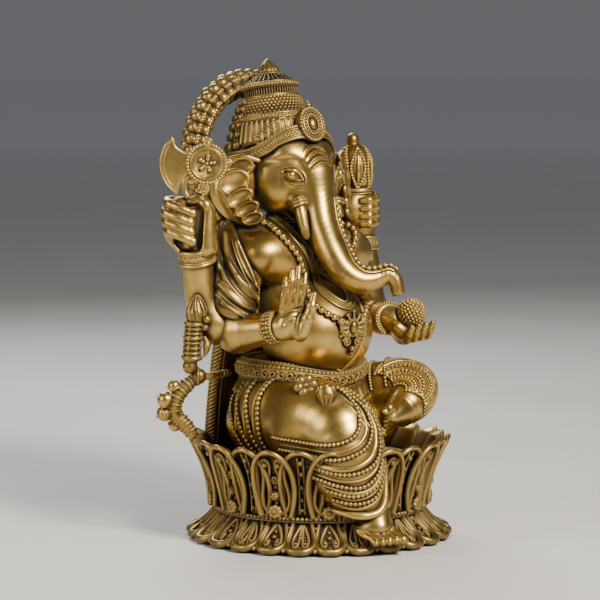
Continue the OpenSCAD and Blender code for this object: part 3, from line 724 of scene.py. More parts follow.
def tall_petal(detail):
    """One tall petal at angle 0; detail adds its scrolls, beads and rosettes."""
    parts, field = Parts(), Parts()
    long_mm = TIP_Z - WAIST_Z + 3
    t = np.linspace(0, 1, 46)[None, :]
    s = np.linspace(-1, 1, 35)[:, None]
    u = s * np.maximum(petal_width(t), 0.15)
    step = clamp((0.84 - np.abs(s)) / 0.12) * clamp((0.93 - t) / 0.08) * clamp((t + 0.02) / 0.05)
    dish = (2.7 if detail else 1.1) * step * step * (3 - 2 * step) + 0.5 * (1 - s**2)
    field.sheet(tall_petal_point(u, t, -dish))
    back = 1.0 + 3.4 * np.sqrt(1 - s**2) * clamp((1 - t) / 0.1)
    parts.sheet(tall_petal_point(u, t, -back)[::-1])
    edge_t = np.concatenate([np.linspace(0.0, 0.9, 22),
                             1 - 0.1 * (1 - np.sin(np.linspace(0, math.pi / 2, 14)))])
    half = petal_width(edge_t)
    rim_u = np.concatenate([-half, half[::-1][1:]])
    rim_t = np.concatenate([edge_t, edge_t[::-1][1:]])
    parts.tube(evenly(tall_petal_point(rim_u * 0.985, rim_t * 0.995, 0.1), count=90), 1.35, 8)
    if not detail:
        return parts, field
    for side in (-1, 1):
        scroll = [(2.4, 0.03), (5.8, 0.07), (8.4, 0.17), (8.8, 0.30), (7.8, 0.44), (6.8, 0.58), (6.9, 0.72),
                  (6.0, 0.82), (4.0, 0.85), (2.2, 0.80), (2.2, 0.70), (3.4, 0.58), (4.8, 0.46)]
        tube_on(parts, tall_petal_point, mirrored(scroll, side), np.linspace(1.35, 0.8, 60), 60, lift=-1.4)
        parts.balls(tall_petal_point(side * 4.3, 0.78, -0.8), 1.9)
    flower_on(parts, lambda u, t, lift: tall_petal_point(u, t, lift - 2.2), 0, 0.53, 2.9, 6, long_mm)
    parts.balls(tall_petal_point(0, 0.31, -1.0), 3.0, 3)
    flower_on(parts, lambda u, t, lift: tall_petal_point(u, t, lift + 1.0), 0, 0.31, 2.3, 6, long_mm)
    turn = np.arange(12) * math.pi / 6
    parts.balls(tall_petal_point(3.9 * np.cos(turn), 0.31 + 3.9 * np.sin(turn) / long_mm, -2.4), 0.7, 1)
    flower_on(parts, lambda u, t, lift: tall_petal_point(u, t, lift + 0.4), 0, 0.07, 4.4, 8, long_mm)
    parts.balls(tall_petal_point(0, 0.07, 0), 2.6)
    parts.balls(tall_petal_point(0, vec(0.43, 0.19), -2.0), 1.0, 1)
    return parts, field


def turned(angle, shift=0.0):
    """Turns points about the base's axis, after moving them outwards."""
    c, s = math.cos(angle), math.sin(angle)

    def move(p):
        q = np.array(p, float)
        q[..., 0] = q[..., 0] + shift
        return xyz(c * q[..., 0] - s * q[..., 1], s * q[..., 0] + c * q[..., 1], q[..., 2])
    return move


def low_petal_point(u, t, lift):
    """Place on a low petal: t runs from the waist down to the rim."""
    radius = WAIST_R - 0.5 + (RIM_R - WAIST_R + 0.8) * t**1.15 - 0.012 * u * u
    height = WAIST_Z - 1.0 - (WAIST_Z - 4.0) * t**0.85 - 0.012 * u * u * t
    angle = u / (WAIST_R + 9)
    radius = radius + 0.72 * lift
    height = height + 0.69 * lift
    return xyz(radius * np.cos(angle), radius * np.sin(angle), height)


def low_petal(pattern):
    parts, field = Parts(), Parts()
    t = np.linspace(0, 1, 30)[None, :]
    s = np.linspace(-1, 1, 25)[:, None]
    width = 5.6 + 2.9 * np.sin(np.clip(t, 0, 0.86) / 0.86 * math.pi / 2)
    width = width * np.sqrt(np.clip(1 - clamp((t - 0.50) / 0.52)**2.1, 0.02, 1))
    u = s * width
    step = clamp((0.86 - np.abs(s)) / 0.2) * clamp((0.90 - t) / 0.10) * clamp(t / 0.06)
    field.sheet(low_petal_point(-u, t, -2.6 * step * step * (3 - 2 * step)), thick=1.6)
    edge = np.concatenate([np.linspace(0.04, 0.8, 12), np.linspace(0.84, 1.0, 9)])
    half = 5.6 + 2.9 * np.sin(np.clip(edge, 0, 0.86) / 0.86 * math.pi / 2)
    half = half * np.sqrt(np.clip(1 - clamp((edge - 0.50) / 0.52)**2.1, 0.0, 1))
    rim = low_petal_point(np.concatenate([-half, half[::-1]]), np.concatenate([edge, edge[::-1]]), 0.2)
    rim = evenly(rim, count=60)
    low = clamp((9.5 - rim[:, 2]) / 6)
    parts.tube(rim, 1.0 + 1.15 * low**1.5, 10)
    for side in (-1, 1):
        if pattern == 0:
            scroll = [(0.9, 0.10), (2.6, 0.24), (4.3, 0.44), (4.9, 0.62), (3.9, 0.76), (2.4, 0.74),
                      (2.1, 0.62), (3.0, 0.56)]
            tube_on(parts, low_petal_point, mirrored(scroll, side), np.linspace(1.0, 0.7, 36), 36,
                    lift=-1.3)
            parts.balls(low_petal_point(side * 2.9, 0.67, -0.9), 1.35)
        else:
            loop = [(0.5, 0.08), (3.0, 0.30), (4.6, 0.56), (3.4, 0.80), (1.4, 0.72), (0.9, 0.42)]
            tube_on(parts, low_petal_point, mirrored(loop, side), 0.8, 36, lift=-1.2, closed=True)
            for k in range(5):
                hatch = [(side * (1.3 + 0.2 * k), 0.34 + 0.09 * k),
                         (side * (3.4 + 0.2 * k), 0.36 + 0.08 * k)]
                tube_on(parts, low_petal_point, hatch, 0.32, 5, 5, lift=-2.0)
            parts.balls(low_petal_point(side * 2.6, 0.68, -1.2), 1.2)
    parts.balls(low_petal_point(0, vec(0.30, 0.48, 0.84), vec(-1.6, -1.6, -0.9)), vec(1.0, 1.3, 1.1))
    return parts, field


def level_ring(radius, angles, height):
    """Points round the base's axis."""
    return xyz(radius * np.cos(angles), radius * np.sin(angles), height)


def make_lotus():
    """Both rows of petals, their cores and the bead ring between them."""
    (tall, tall_field), (plain, plain_field) = tall_petal(True), tall_petal(False)
    ring, inner, fields, pitch = Parts(), Parts(), Parts(), 2 * math.pi / PETALS
    for i in range(PETALS):
        front, behind = turned(FIRST_PETAL + i * pitch), turned(FIRST_PETAL + (i + 0.5) * pitch, -1.9)
        ring.include(tall, front)
        fields.include(tall_field, front)
        inner.include(plain, behind)
        fields.include(plain_field, behind)
    for i in range(PETALS):
        at = turned(FIRST_PETAL + (i + 0.5) * pitch, -1.9)
        spine = np.linspace(0.05, 0.92, 16)
        for u in (-1.6, 1.6):
            inner.tube(at(tall_petal_point(u, spine, 0.3)), 0.55, 6)
        beads = tall_petal_point(0, vec(0.10, 0.26, 0.46, 0.66, 0.84), 0.7)
        inner.balls(at(beads), np.array([1.1, 1.3, 1.6, 1.4, 1.7]))
    ring.object("upper_petals_piece", ["upper_petals", "petal_rosettes"])
    core = Parts()
    core.include(inner)
    core.lathe([(1, SEAT_Z - 1.2), (58.8, SEAT_Z - 1.2), (58, SEAT_Z - 4), (WAIST_R - 5, WAIST_Z + 8),
                (WAIST_R - 5, WAIST_Z), (1, WAIST_Z)], 160, samples=60)
    core.object("upper_lotus_piece", ["upper_lotus"])
    low = Parts()
    for i in range(2 * PETALS):
        at = turned(FIRST_PETAL + i * pitch / 2, 0.25 * (i % 2))
        petal, field = low_petal(i % 2)
        low.include(petal, at)
        fields.include(field, at)
    low.object("lower_petals_piece", ["lower_petals"])
    # the petal fields take the darker brass: patina plus painted shade
    fields.object("petal_fields_piece", [], finish="field_brass_patina_and_shade")
    under = Parts()
    turn = np.linspace(0, 2 * math.pi, 2 * PETALS, endpoint=False) + FIRST_PETAL + pitch / 4
    for k, t in enumerate(np.linspace(0.2, 0.95, 5)):
        at = low_petal_point(0, t, -0.4)
        under.balls(level_ring(at[0], turn, at[2]), 0.75 + 0.12 * k, 1)
    under.lathe([(1, 7), (66, 7), (71.5, 2.4), (71.5, 1.2), (66, 1.1), (66, 4), (58.5, 17), (58.5, 18.8),
                 (1, 18.8)],
                156, samples=50)
    under.object("lower_lotus_piece", ["lower_lotus"])
    waist = Parts()
    waist.balls(level_ring(WAIST_R + 1.7, full_turn(150), WAIST_Z), 1.15, 1)
    waist.tube(level_ring(WAIST_R + 0.8, full_turn(120), WAIST_Z - 1.5), 0.8, 8, closed=True)
    waist.object("waist_ring_piece", ["waist_ring"], "dark_brass")


make_lotus()


# ---- body --------------------------------------------------------------------------------------
def solid(name, clay, nodes, extra=None):
    """Clay, with any added parts, as one piece."""
    parts = extra or Parts()
    verts, quads = clay.parts()
    parts.add(verts, quads)
    parts.object(name, nodes)


def make_torso():
    clay = Clay((-52, -33, 84), (52, 50, 196), 0.75)
    clay.lump((0, 3, 118), (33.5, 31.5, 29))
    clay.lump((0, 18, 134), (32, 21, 26), 8)
    clay.lump((0, 23, 158), (30, 18, 22), 8)
    for side in (-1, 1):
        clay.lump((side * 17, 9.5, 157), (15, 12.5, 13), 4.5)
        clay.lump((side * 27, 10.5, 161.5), (19, 13.5, 14.5), 4.5)
        clay.lump((side * 28, 27, 171.5), (15, 11, 12.5), 5)
        clay.limb([(side * 16, 23, 166), (side * 35, 22, 162)], (13, 13.5), 6)
    clay.limb([(0, 25, 166), (0, 25, 192)], (17, 14), 6)
    clay.lump((-3, -29.5, 113), (2.4, 4, 2.0), 1.6, carve=True)
    for z in (180, 184.5):
        ring = [(15 * math.cos(a), 24 + 14 * math.sin(a), z) for a in np.linspace(0, 2 * math.pi, 25)]
        clay.limb(ring, 0.7, 0.8, carve=True, bars=24)
    clay.slice((0, 0, 87), (0, 0, -1), 1)
    return clay


def make_right_leg():
    clay = Clay((-68, -86, 16), (14, 50, 104), 0.72)
    clay.limb([(-22, 22, 66), (-24, -10, 69), (-25, -41, 70.5), (-24, -53, 52), (-21, -56, 34),
               (-16, -61, 22)],
              (22.5, 22.5, 22, 19.5, 15.5, 10), 0)
    clay.lump((-28, -27, 71), (20.5, 27, 21.5), 6)
    clay.lump((-23, 8, 77), (22.5, 23, 17.5), 6)
    clay.limb([(-40, -24, 60), (-36, -40, 48), (-27, -53, 36)], (10, 11, 10), 8)
    clay.limb([(-31, -56, 66), (-21, -64, 62.6), (-8, -62, 66)], 1.6, 3)
    clay.limb([(-44, -38, 61.5), (-34, -55, 59.5), (-22, -66, 60.5), (-9, -64, 65)], 0.8, 1.6, carve=True)
    clay.slice((0, 0, 20.5), (0, 0, -1), 1)
    return clay


def make_left_leg():
    clay = Clay((0, -52, 48), (82, 46, 106), 0.72)
    clay.limb([(24, 22, 68), (40, 2, 77), (53, -17, 82), (46, -29, 78), (33, -33, 72)],
              (22, 19, 15.5, 13, 9.5))
    clay.lump((50, -12, 82), (18, 18, 14), 6, turn=(0, 0, 35))
    clay.slice((0, 0, 46.5), (0, 0, -1), 1)
    return clay


def make_hips():
    clay = Clay((-48, -14, 44), (48, 60, 94), 0.9)
    clay.lump((0, 24, 62), (40, 30, 24), 0)
    clay.lump((0, 20, 84), (34, 28, 18), 8)
    clay.slice((0, 0, 45.4), (0, 0, -1), 1)
    clay.slice((0, 0, 92.5), (0, 0, 1), 1)
    return clay


torso = make_torso()
right_leg = make_right_leg()
left_leg = make_left_leg()
hips = make_hips()


def toe_row(clay, start, ball, tip, spread, size):
    """Toes side by side: ball and tip are the first toe's; spread steps to the next."""
    for i in range(TOES):
        k = np.asarray(spread, float) * i
        r = size * (1.16 if i == 0 else 1.0 - 0.06 * i)
        knuckle = np.asarray(ball, float) + k
        end = np.asarray(tip, float) + k * 0.98
        clay.limb([start, knuckle + (knuckle - end) * 0.6 + [0, 0, 0.9], knuckle], (r * 1.5, r * 1.1, r),
                  0.7)
        clay.limb([knuckle, (knuckle + end) / 2 + [0, 0, 0.6], end], (r * 0.92, r * 0.86, r), 0.3)


TOES = 5


def make_feet():
    """The hanging right foot and the folded left one."""
    clay = Clay((-36, -88, 0), (4, -46, 34), 0.5)
    clay.limb([(-14, -58, 27), (-14.5, -64, 21), (-16, -70, 15)], (9.5, 9, 6.5), 2)
    clay.lump((-15.5, -66, 14.8), (10, 7.4, 6), 4)
    toe_row(clay, (-15, -64, 15), (-9.8, -74.6, 12.2), (-9.2, -82, 9.0), (-3.95, 1.3, -0.2), 2.75)
    clay.lump((-6.5, -62, 22), (2.4, 2.4, 2.4), 2)
    nails = Parts()
    for i in range(TOES):
        nails.balls(vec(-9.2 - 3.85 * i, -82.5 + 1.2 * i, 11.6 - 0.25 * i), 1.35 - 0.08 * i, 2, squash=0.4,
                    axis=(0, -0.5, 1))
    solid("right_foot_piece", clay, ["right_foot"], nails)
    clay = Clay((4, -52, 58), (46, -20, 88), 0.55)
    clay.limb([(33, -33, 73), (26, -37, 71.5), (20, -39, 70)], (9, 7.5, 6), 2)
    toe_row(clay, (26, -37, 71), (16, -41.5, 74.5), (12.5, -42.5, 74), (0.3, 0.5, -2.6), 2.5)
    solid("left_foot_piece", clay, ["left_foot"])


make_feet()


# ---- arms --------------------------------------------------------------------------------------
ARMS = {
    "upper_right": [(-35, 25, 163), (-50, 24, 142), (-60, 21, 124), (-66, 24.5, 140), (-72.5, 21, 164)],
    "lower_right": [(-35, 19.5, 162), (-48, 17, 140), (-50, 12, 120), (-48.6, -3, 121.5),
                    (-45.6, -17, 124.4)],
    "upper_left": [(35, 27, 163), (50, 27, 144), (61, 27, 126), (61.5, 29, 144), (61, 32, 164)],
    "lower_left": [(34, 20, 162), (46, 21, 141), (55, 23, 121), (53, 10, 121), (51, -2, 122)],
}
ARM_RADII = {"upper_right": (13, 12, 10.5, 9.6, 8.2), "lower_right": (13, 12, 11.5, 9.6, 7.4),
             "upper_left": (13, 12, 10, 9.2, 7.6), "lower_left": (15, 12, 10.5, 9.4, 7.8)}


def make_arm(key):
    """Upper arm and forearm of one piece, cut square at the wrist."""
    joints, radii = ARMS[key], ARM_RADII[key]
    j = np.array(joints, float)
    clay = Clay(j.min(0) - 17, j.max(0) + 17, 0.75)
    clay.limb(joints[:3], radii[:3], 0, bars=16)
    clay.limb(joints[2:], radii[2:], 3, bars=16)
    clay.lump(j[2], [radii[2] + 0.6] * 3, 3)
    way = j[4] - j[3]
    clay.slice(j[4] - unit(way) * 0.5, way, 0.6)
    solid(key + "_arm_piece", clay, [key + "_arm"])


for arm in ARMS:
    make_arm(arm)


def finger(clay, points, radii, soft=0.7):
    """A finger of three segments with soft knuckles."""
    clay.limb(points, radii, soft, bars=9)
    for p, r in list(zip(points, radii))[1:-1]:
        clay.lump(p, [r * 1.13] * 3, 0.8)


def make_fist():
    """Closed hand on the handle of the axe, with its fingers wrapped round."""
    clay = Clay((-98, 0, 160), (-50, 44, 208), 0.5)
    r, t = SIDEWAYS, FACING
    core = vec(-77, 23, 182)
    clay.limb([(-72.5, 21, 163), (-72.5, 21, 169), (-72, 19, 175)], (7.2, 7.2, 8), 2)
    clay.lump(core - 3.5 * r + vec(0, 0, 1.5), (10, 7.6, 13), 2, turn=(0, 0, -40))
    clay.lump(core + 5 * r, (8, 8, 10), 4, turn=(0, 0, -40))
    for k in range(4):
        base = core * [1, 1, 0] + vec(0, 0, 193 - 5.2 * k) + (1.4, 0, 0.3, 1.6)[k] * r
        size = 2.75 - 0.12 * abs(k - 1)
        wrap = [base + 3 * r - 7.5 * t, base - 6 * r - 7 * t + 0.6 * UP, base - 12.4 * r - 1.5 * t + 0.8
                * UP,
                base - 11 * r + 5.5 * t - 0.6 * UP, base - 5 * r + 9.6 * t - 2.8 * UP, base + 1.6 * r + 9.2
                * t - 5.6 * UP,
                base + 4.6 * r + 5.5 * t - 6.6 * UP]
        clay.limb(wrap, (3, size + 0.1, size + 0.1, size, size, size - 0.15, size - 0.5), 0.35, bars=24)
        for p in (wrap[3], wrap[5]):
            clay.lump(p, (size * 1.1,) * 3, 1.2)
    clay.lump(core - 4 * r + t, (8, 6.5, 9.5), 1.5, turn=(0, 0, -40))
    clay.lump(core + 1 * r + 4 * t - 11 * UP, (4.6, 4.6, 5.0), 1.5)
    clay.limb([core - 9.4 * r - 2.5 * UP, core - 8.6 * r + t - 8 * UP, core - 4.4 * r + t - 12.5 * UP,
               core - 1.5 * r - 15.5 * UP],
              (4.6, 3.9, 4.0, 4.4), 1.5)
    cord = [core - 8.5 * r + 6 * t - 8 * UP, core - 7.6 * r + 6.5 * t - 12 * UP, core - 5 * r + 7 * t - 15.5
            * UP]
    clay.limb(cord, (1.5, 1.2, 1.1), 0.6)
    heel = core + 11 * r + 5 * t
    clay.limb([heel + vec(0, 0, -14), heel + vec(0, 0, -4), heel + vec(0.5, 0, 5), heel + vec(-1, 0, 10)],
              (6, 5.4, 4.6, 3.6), 2)
    clay.limb([heel + vec(-1, 0, 9), heel - 4 * r + vec(0, 0, 13), heel - 9 * r + vec(0, 0, 11.5)],
              (3.4, 3, 2.4), 1)
    clay.limb([core + 7.2 * r + 8.5 * t + vec(0, 0, 7), core + 6.4 * r + 7.5 * t + vec(0, 0, -12)],
              (2.0, 3.0), 1.2, carve=True)
    solid("upper_right_hand_piece", clay, ["upper_right_hand"])


def make_blessing_hand():
    """Palm forward, fingers up and close together."""
    clay = Clay((-62, -52, 110), (-16, -4, 166), 0.45)
    clay.limb([seen(-25.5, 123.6, 41), seen(-20.5, 124, 44), seen(-16, 127, 45.5)], (7.4, 7.3, 7), 2)
    clay.lump(seen(-15.4, 128.5, 45.6), (8.0, 4.6, 10.8), 3, turn=(0, 0, -40))
    clay.lump(seen(-10.2, 123.4, 48.6), (4.2, 3.8, 7.2), 2, turn=(0, 10, -40))
    clay.lump(seen(-19.8, 124.6, 48.2), (3.6, 3.5, 7.4), 2, turn=(0, 0, -40))
    for u0, u1, top, size in ((-20.9, -18.8, 152.5, 1.8), (-17.2, -15.2, 156.6, 1.95),
                              (-13.4, -11.6, 158.6, 1.95), (-9.9, -8.0, 154.6, 1.8)):
        low = 136.0
        points = [seen(u0 + (u1 - u0) * k, low + (top - low) * k, 46.6 + bend)
                  for k, bend in ((-0.15, -0.4), (0.02, 0.6), (0.36, 1.6), (0.68, 1.4), (0.97, -0.4))]
        finger(clay, points, (size + 0.2, size, size, size * 0.97, size * 0.86), 0.2)
    finger(clay, [seen(-10.2, 121.5, 49), seen(-6.8, 129.5, 50.5), seen(-4.6, 136.6, 50.4),
                  seen(-3.2, 143, 49.4)],
           (4.2, 3.4, 2.7, 2.0), 0.8)
    lines = [[(-20.8, 131.5), (-16.4, 134.2), (-12.4, 134.6), (-9.8, 136)],
             [(-19, 127), (-15.4, 129.8), (-11.2, 130.4)],
             [(-11.0, 132.5), (-12.6, 127), (-13.2, 119.5)]]
    for line in lines:
        way = smooth_path(line, 14)
        q = land(clay, seen(way[:, :1], way[:, 1:], 70), -FACING, 0.1, reach=50)[0]
        clay.limb(q[::2], 1.0, 0.8, carve=True, bars=12)
    solid("lower_right_hand_piece", clay, ["lower_right_hand"])


def make_mace_hand():
    """Closed hand round the bud's stalk, its fingers on the far side."""
    clay = Clay((44, 16, 156), (84, 58, 204), 0.5)
    clay.limb([(61, 32, 163), (61.4, 33.6, 175), (61, 35, 187), (60.4, 35.6, 195)], (7, 8.2, 8.2, 7.4), 1)
    clay.lump(vec(60, 35, 184) - 3.5 * SIDEWAYS + 3 * FACING, (6.5, 6.5, 10), 3)
    for k in range(4):
        base = vec(61.5, 35.2, 191.5 - 4.6 * k)
        finger(clay, [base - 3 * FACING + 5 * SIDEWAYS, base + 8.2 * SIDEWAYS - 1 * FACING,
                      base + 9.0 * SIDEWAYS + 4 * FACING - UP,
                      base + 5.5 * SIDEWAYS + 8 * FACING - 2 * UP, base + 1.0 * SIDEWAYS + 8.8 * FACING
                      - 2.6 * UP],
               (2.8, 2.7, 2.6, 2.4, 2.0))
    ring = Parts()
    a = full_turn(48)
    for z, radius, size in ((195.6, 8.0, 1.3), (193.6, 7.9, 0.6)):
        ring.tube(xyz(60.4 + radius * np.cos(a), 35.6 + radius * np.sin(a), z + 0.06 * radius * np.cos(a)),
                  size, 8, closed=True)
    solid("upper_left_hand_piece", clay, ["upper_left_hand"], ring)


def make_cupped_hand():
    """Palm up, its four fingers curled up in front of the sweet."""
    clay = Clay((32, -46, 98), (82, 12, 140), 0.5)
    palm = vec(59, -13, 114)
    clay.limb([(51, -1, 122), (54, -6, 119.5), palm + vec(-2, 4, -0.6)], (7.4, 7.4, 7), 2)
    clay.lump(palm, (10, 8.6, 5.4), 3)
    clay.limb([seen(46, 117, -24), seen(52, 113, -23), seen(61, 113.2, -22)], (4.5, 4.2, 3.6), 2)
    clay.lump(vec(58, -15, 126), (9.0, 9.0, 8.8), 1.0, carve=True)
    for i in range(4):
        u, z = 50.8 + 4.1 * i, 110.6 + 0.9 * i
        finger(clay, [seen(u + 0.6, z + 1.6, -26), seen(u, z, -19.5), seen(u + 1.2, z + 3.2, -16.2),
                      seen(u + 2.9, z + 7.6, -16.2)],
               (2.4, 2.3, 2.15, 1.7), 0.3)
    clay.limb([palm + vec(-4, 8, 0), palm + vec(-4.5, 9.5, 6), palm + vec(-2.5, 8.6, 11.5)], (4, 3.4, 2.4),
              1)
    solid("lower_left_hand_piece", clay, ["lower_left_hand"])


def make_sweet():
    """Round sweet covered in fine studs."""
    parts, centre, studs = Parts(), vec(58, -15, 125.8), 170
    k = np.arange(studs) + 0.5
    polar, turn = np.arccos(1 - 2 * k / studs), k * math.pi * (3 - 5**0.5)
    ways = xyz(np.cos(turn) * np.sin(polar), np.sin(turn) * np.sin(polar), np.cos(polar))
    parts.balls(centre, 7.7, 3)
    parts.balls(centre + ways * 7.8, 0.98)
    parts.object("sweet_piece", ["sweet"])


make_fist()
make_blessing_hand()
make_mace_hand()
make_cupped_hand()
make_sweet()


# ---- head --------------------------------------------------------------------------------------
TRUNK = [(0, 5, 206), (-1, 0.5, 193), (-2.4, -5, 179), (-2.6, -13.4, 165), (0, -21.5, 153.6),
         (6.5, -28.5, 148), (15, -33.5, 149.4),
         (19.6, -37.2, 151.4), (22.6, -40.2, 147.4), (23.2, -41.6, 141.4)]
TRUNK_R = (10.8, 9.6, 9.0, 8.9, 8.3, 7.4, 5.8, 4.8, 4.2, 3.8)


def make_head():
    """Skull, cheeks, trunk and the hollows round the eyes."""
    clay = Clay((-34, -50, 138), (36, 54, 236), 0.62)
    clay.lump((0, 29, 212), (26, 23, 24.5))
    clay.lump((0, 14, 209), (17.5, 15, 16.5), 7)
    clay.lump((0, 6.5, 204), (11, 10.5, 15), 7)
    for s in (-1, 1):
        clay.lump((s * 11.5, 20, 197.5), (12.5, 14, 12.5), 6)
        clay.lump((s * 13.5, 27, 203), (15, 17, 17.5), 6)
        clay.lump((s * 8, 15, 218.5), (11.5, 8.8, 9), 6)
        clay.lump((s * 12, 4.6, 191), (5.4, 5.8, 6), 4)
    clay.limb(TRUNK, TRUNK_R, 5, bars=40)
    clay.lump((0, 4, 184), (8, 8, 7), 4)
    for s in (-1, 1):
        brow = np.array([(s * 34, 16, 214.5), (s * 27, 5, 216), (s * 20.5, -1, 216.8), (s * 15, -4, 213),
                         (s * 12, -6, 206)])
        out = unit(vec(s * 0.62, -0.78, 0.05))
        path, normal = land(clay, smooth_path(brow, 24) + out * 16, -out, 0.4, reach=44)
        clay.limb((path + normal * 0.9)[:-5:3], (0.8, 1.2, 1.4, 1.5, 1.4, 1.1, 0.7), 2.4, carve=True)
        clay.lump((s * 14.2, 6.6, 207), (7.0, 3.8, 3.8), 3.5, turn=(0, 0, s * -38))

    def creases(x, _, z):
        """Folds across the root of the trunk."""
        run = z + 0.06 * x * x
        mask = clamp((run - 211.5) / 3) * clamp((227 - run) / 2) * clamp((9.5 - np.abs(x)) / 3.5)
        low = clamp((204 - run) / 6) * clamp((10 - np.abs(x)) / 4) * 0.05
        return mask * 0.62 * np.cos(run * 2 * math.pi / 3.3) + low * 0.5 * np.cos(run * 2 * math.pi / 2.9)
    clay.relief(creases, (-12, -20, 160), (12, 8, 230))

    def curl_rings(x, y, _):
        """Rings round the curled tip."""
        along_curl = x * 0.8 - y * 0.6
        return clamp((along_curl - 24) / 6) * 0.07 * np.cos(along_curl * 2 * math.pi / 2.3)
    clay.relief(curl_rings, (8, -50, 138), (36, -16, 160))
    clay.limb([(23.2, -41.8, 143.6), (23.4, -42.4, 136)], (2.2, 2.5), 0.3, carve=True)
    clay.slice((23.2, -41.6, 139.4), (0.1, -0.1, -1), 0.4)
    return clay


def eye_line(clay, side, points, lift):
    """A line near the eye: points are (along, up) in the eye's own frame."""
    centre, out = vec(-14.4, 6.0, 207.2), unit(vec(-0.66, -0.75, 0.08))
    along = unit(vec(0.75, -0.66, -0.24))
    up = np.cross(out, along)
    path = smooth_path(points, 26)
    starts = centre + path[:, :1] * along + path[:, 1:2] * up + out * 18
    starts, out = starts * [-side, 1, 1], out * [-side, 1, 1]
    return land(clay, starts, -out, lift, reach=30, step=0.25)[0]


def make_face(clay):
    """Eyelids, creases and eyeballs, added to the head."""
    extra = Parts()
    for side in (-1, 1):
        upper = [(-6.6, 0.3), (-3.8, 1.7), (0, 2.2), (3.4, 1.3), (6.6, -1.5)]
        lower = [(-6.6, 0.3), (-3.4, -1.3), (0.6, -1.9), (4, -2.0), (6.6, -1.5)]
        extra.tube(eye_line(clay, side, upper, 0.35), taper(26, [0, 0.5, 1], [0.5, 1.15, 0.6]), 8)
        extra.tube(eye_line(clay, side, lower, 0.25), 0.6, 8)
        crease = [(-5.6, 2.9), (-2.6, 4.3), (1.4, 4.5), (5, 2.9), (7.8, -0.4), (8.0, -2.8)]
        extra.tube(eye_line(clay, side, crease, 0.05), 0.55, 6)
        bag = [(-5, -3.8), (-1, -4.9), (3.4, -4.8), (6.6, -3.6)]
        extra.tube(eye_line(clay, side, bag, -0.1), 0.5, 6)
        ball = eye_line(clay, side, [(-0.2, 0.3), (0.1, 0.1), (0.4, 0.1)], -1.9)[0]
        extra.balls(ball, 2.9, 3)
    solid("head_piece", clay, ["head", "trunk"], extra)


def make_tusks():
    """One whole tusk and one broken one, each in a ringed socket."""
    for side, name, points, radii in (
            (-1, "right_tusk", [(-13.2, 3.0, 193), (-13.6, 0.6, 188), (-13.7, -1.8, 181),
                                (-13.2, -4.3, 173.5), (-13, -4.9, 171.4)],
             (3.6, 3.7, 3.4, 2.4, 1.0)),
            (1, "left_tusk", [(13.2, 3.0, 193), (13.6, 0.6, 188), (13.7, -1.1, 183.5)], (3.4, 3.4, 3.1))):
        clay = Clay((-26 if side < 0 else 8, -18, 166), (-8 if side < 0 else 26, 8, 200), 0.5)
        clay.limb(points, radii, 0, bars=12)
        if side < 0:
            clay.slice((-13.5, -5.8, 175), (-0.62, -0.72, -0.36), 0.5)
        else:
            clay.slice((13.6, -1.1, 182), (0.1, -0.3, -1), 0.4)
        ring = Parts()
        turn = full_turn(28)
        axis = unit(vec(-side * 0.05, -0.45, -1))
        a = unit(np.cross(axis, [0, 1, 0]))
        b = np.cross(axis, a)
        centre = vec(side * 13.5, 1.4, 190)
        for radius, drop, thick in ((4.3, 0, 1.15), (4.6, -1.8, 0.8)):
            ring.tube(centre + radius * (np.cos(turn)[:, None] * a + np.sin(turn)[:, None] * b) + axis
                      * drop, thick, 8, closed=True)
        solid(name + "_piece", clay, [name], ring)


def make_ear(side, name):
    """A ruffled ear: stacked shells, each before the one above, over a smooth flap."""
    clay = Clay((-58 if side < 0 else 18, 6, 172), (-18 if side < 0 else 58, 50, 226), 0.5)
    flap = [(-33, 26, 214), (-42, 32, 210), (-45, 34, 199), (-42, 30, 188), (-36, 22, 180)]
    clay.limb([(side * -x, y, z) for x, y, z in flap], (4.2, 4.8, 5, 4.6, 3.2), 0, bars=16)
    clay.lump((side * 37, 27, 202), (9, 5, 16), 4, turn=(0, 0, side * 32))
    rim = [(-30.5, 17.5, 215.5), (-37, 23, 217.5), (-44.6, 31.5, 213.5), (-48.4, 36.5, 203),
           (-47.4, 35, 192), (-42, 27, 182.5),
           (-35, 18.5, 178)]
    clay.limb([(side * -x, y, z) for x, y, z in rim], (1.4, 2.0, 2.0, 1.8, 1.8, 1.9, 1.4), 1.0, bars=24)
    shells = [((-38.0, 24.6, 211.5), (8.6, 3.4, 5.4), 12), ((-41.4, 25.4, 203.0), (9.6, 3.6, 7.6), 26),
              ((-40.0, 22.4, 194.2), (8.8, 3.6, 5.6), 30),
              ((-37.8, 19.0, 188.0), (8.0, 3.6, 4.6), 26), ((-36.0, 16.2, 182.8), (7.0, 3.4, 4.0), 18)]
    out = vec(side * 0.60, -0.79, 0.10)
    for (x, y, z), radii, tilt in shells:
        at, turn = vec(side * -x, y, z), (0, side * tilt, side * 38)
        clay.lump(at, radii, 0.3, turn=turn)
        clay.lump(at + out * 3.4, (radii[0] - 1.3, 3.9, radii[2] - 1.1), 0.4, carve=True, turn=turn)
    solid(name + "_piece", clay, [name])


head = make_head()
make_face(head)
make_tusks()
make_ear(-1, "right_ear")
make_ear(1, "left_ear")


# ---- crown -------------------------------------------------------------------------------------
def crown(p):
    """From the crown's upright frame, front towards -Y, into place."""
    p = np.asarray(p, float)
    c, s = math.cos(CROWN_LEAN), math.sin(CROWN_LEAN)
    return xyz(p[..., 0], p[..., 1] * c + p[..., 2] * s, p[..., 2] * c - p[..., 1] * s) + CROWN_AT


def round_crown(angle, radius, height):
    """Places at angles from the front, in the crown's frame."""
    angle, radius, height = np.broadcast_arrays(np.asarray(angle, float), radius, height)
    return crown(xyz(radius * np.sin(angle), -radius * np.cos(angle), height))


def crown_ring(parts, radius, height, count, size, level=2, phase=0.0, **more):
    parts.balls(round_crown((np.arange(count) + phase) * 2 * math.pi / count, radius, height), size, level,
                **more)


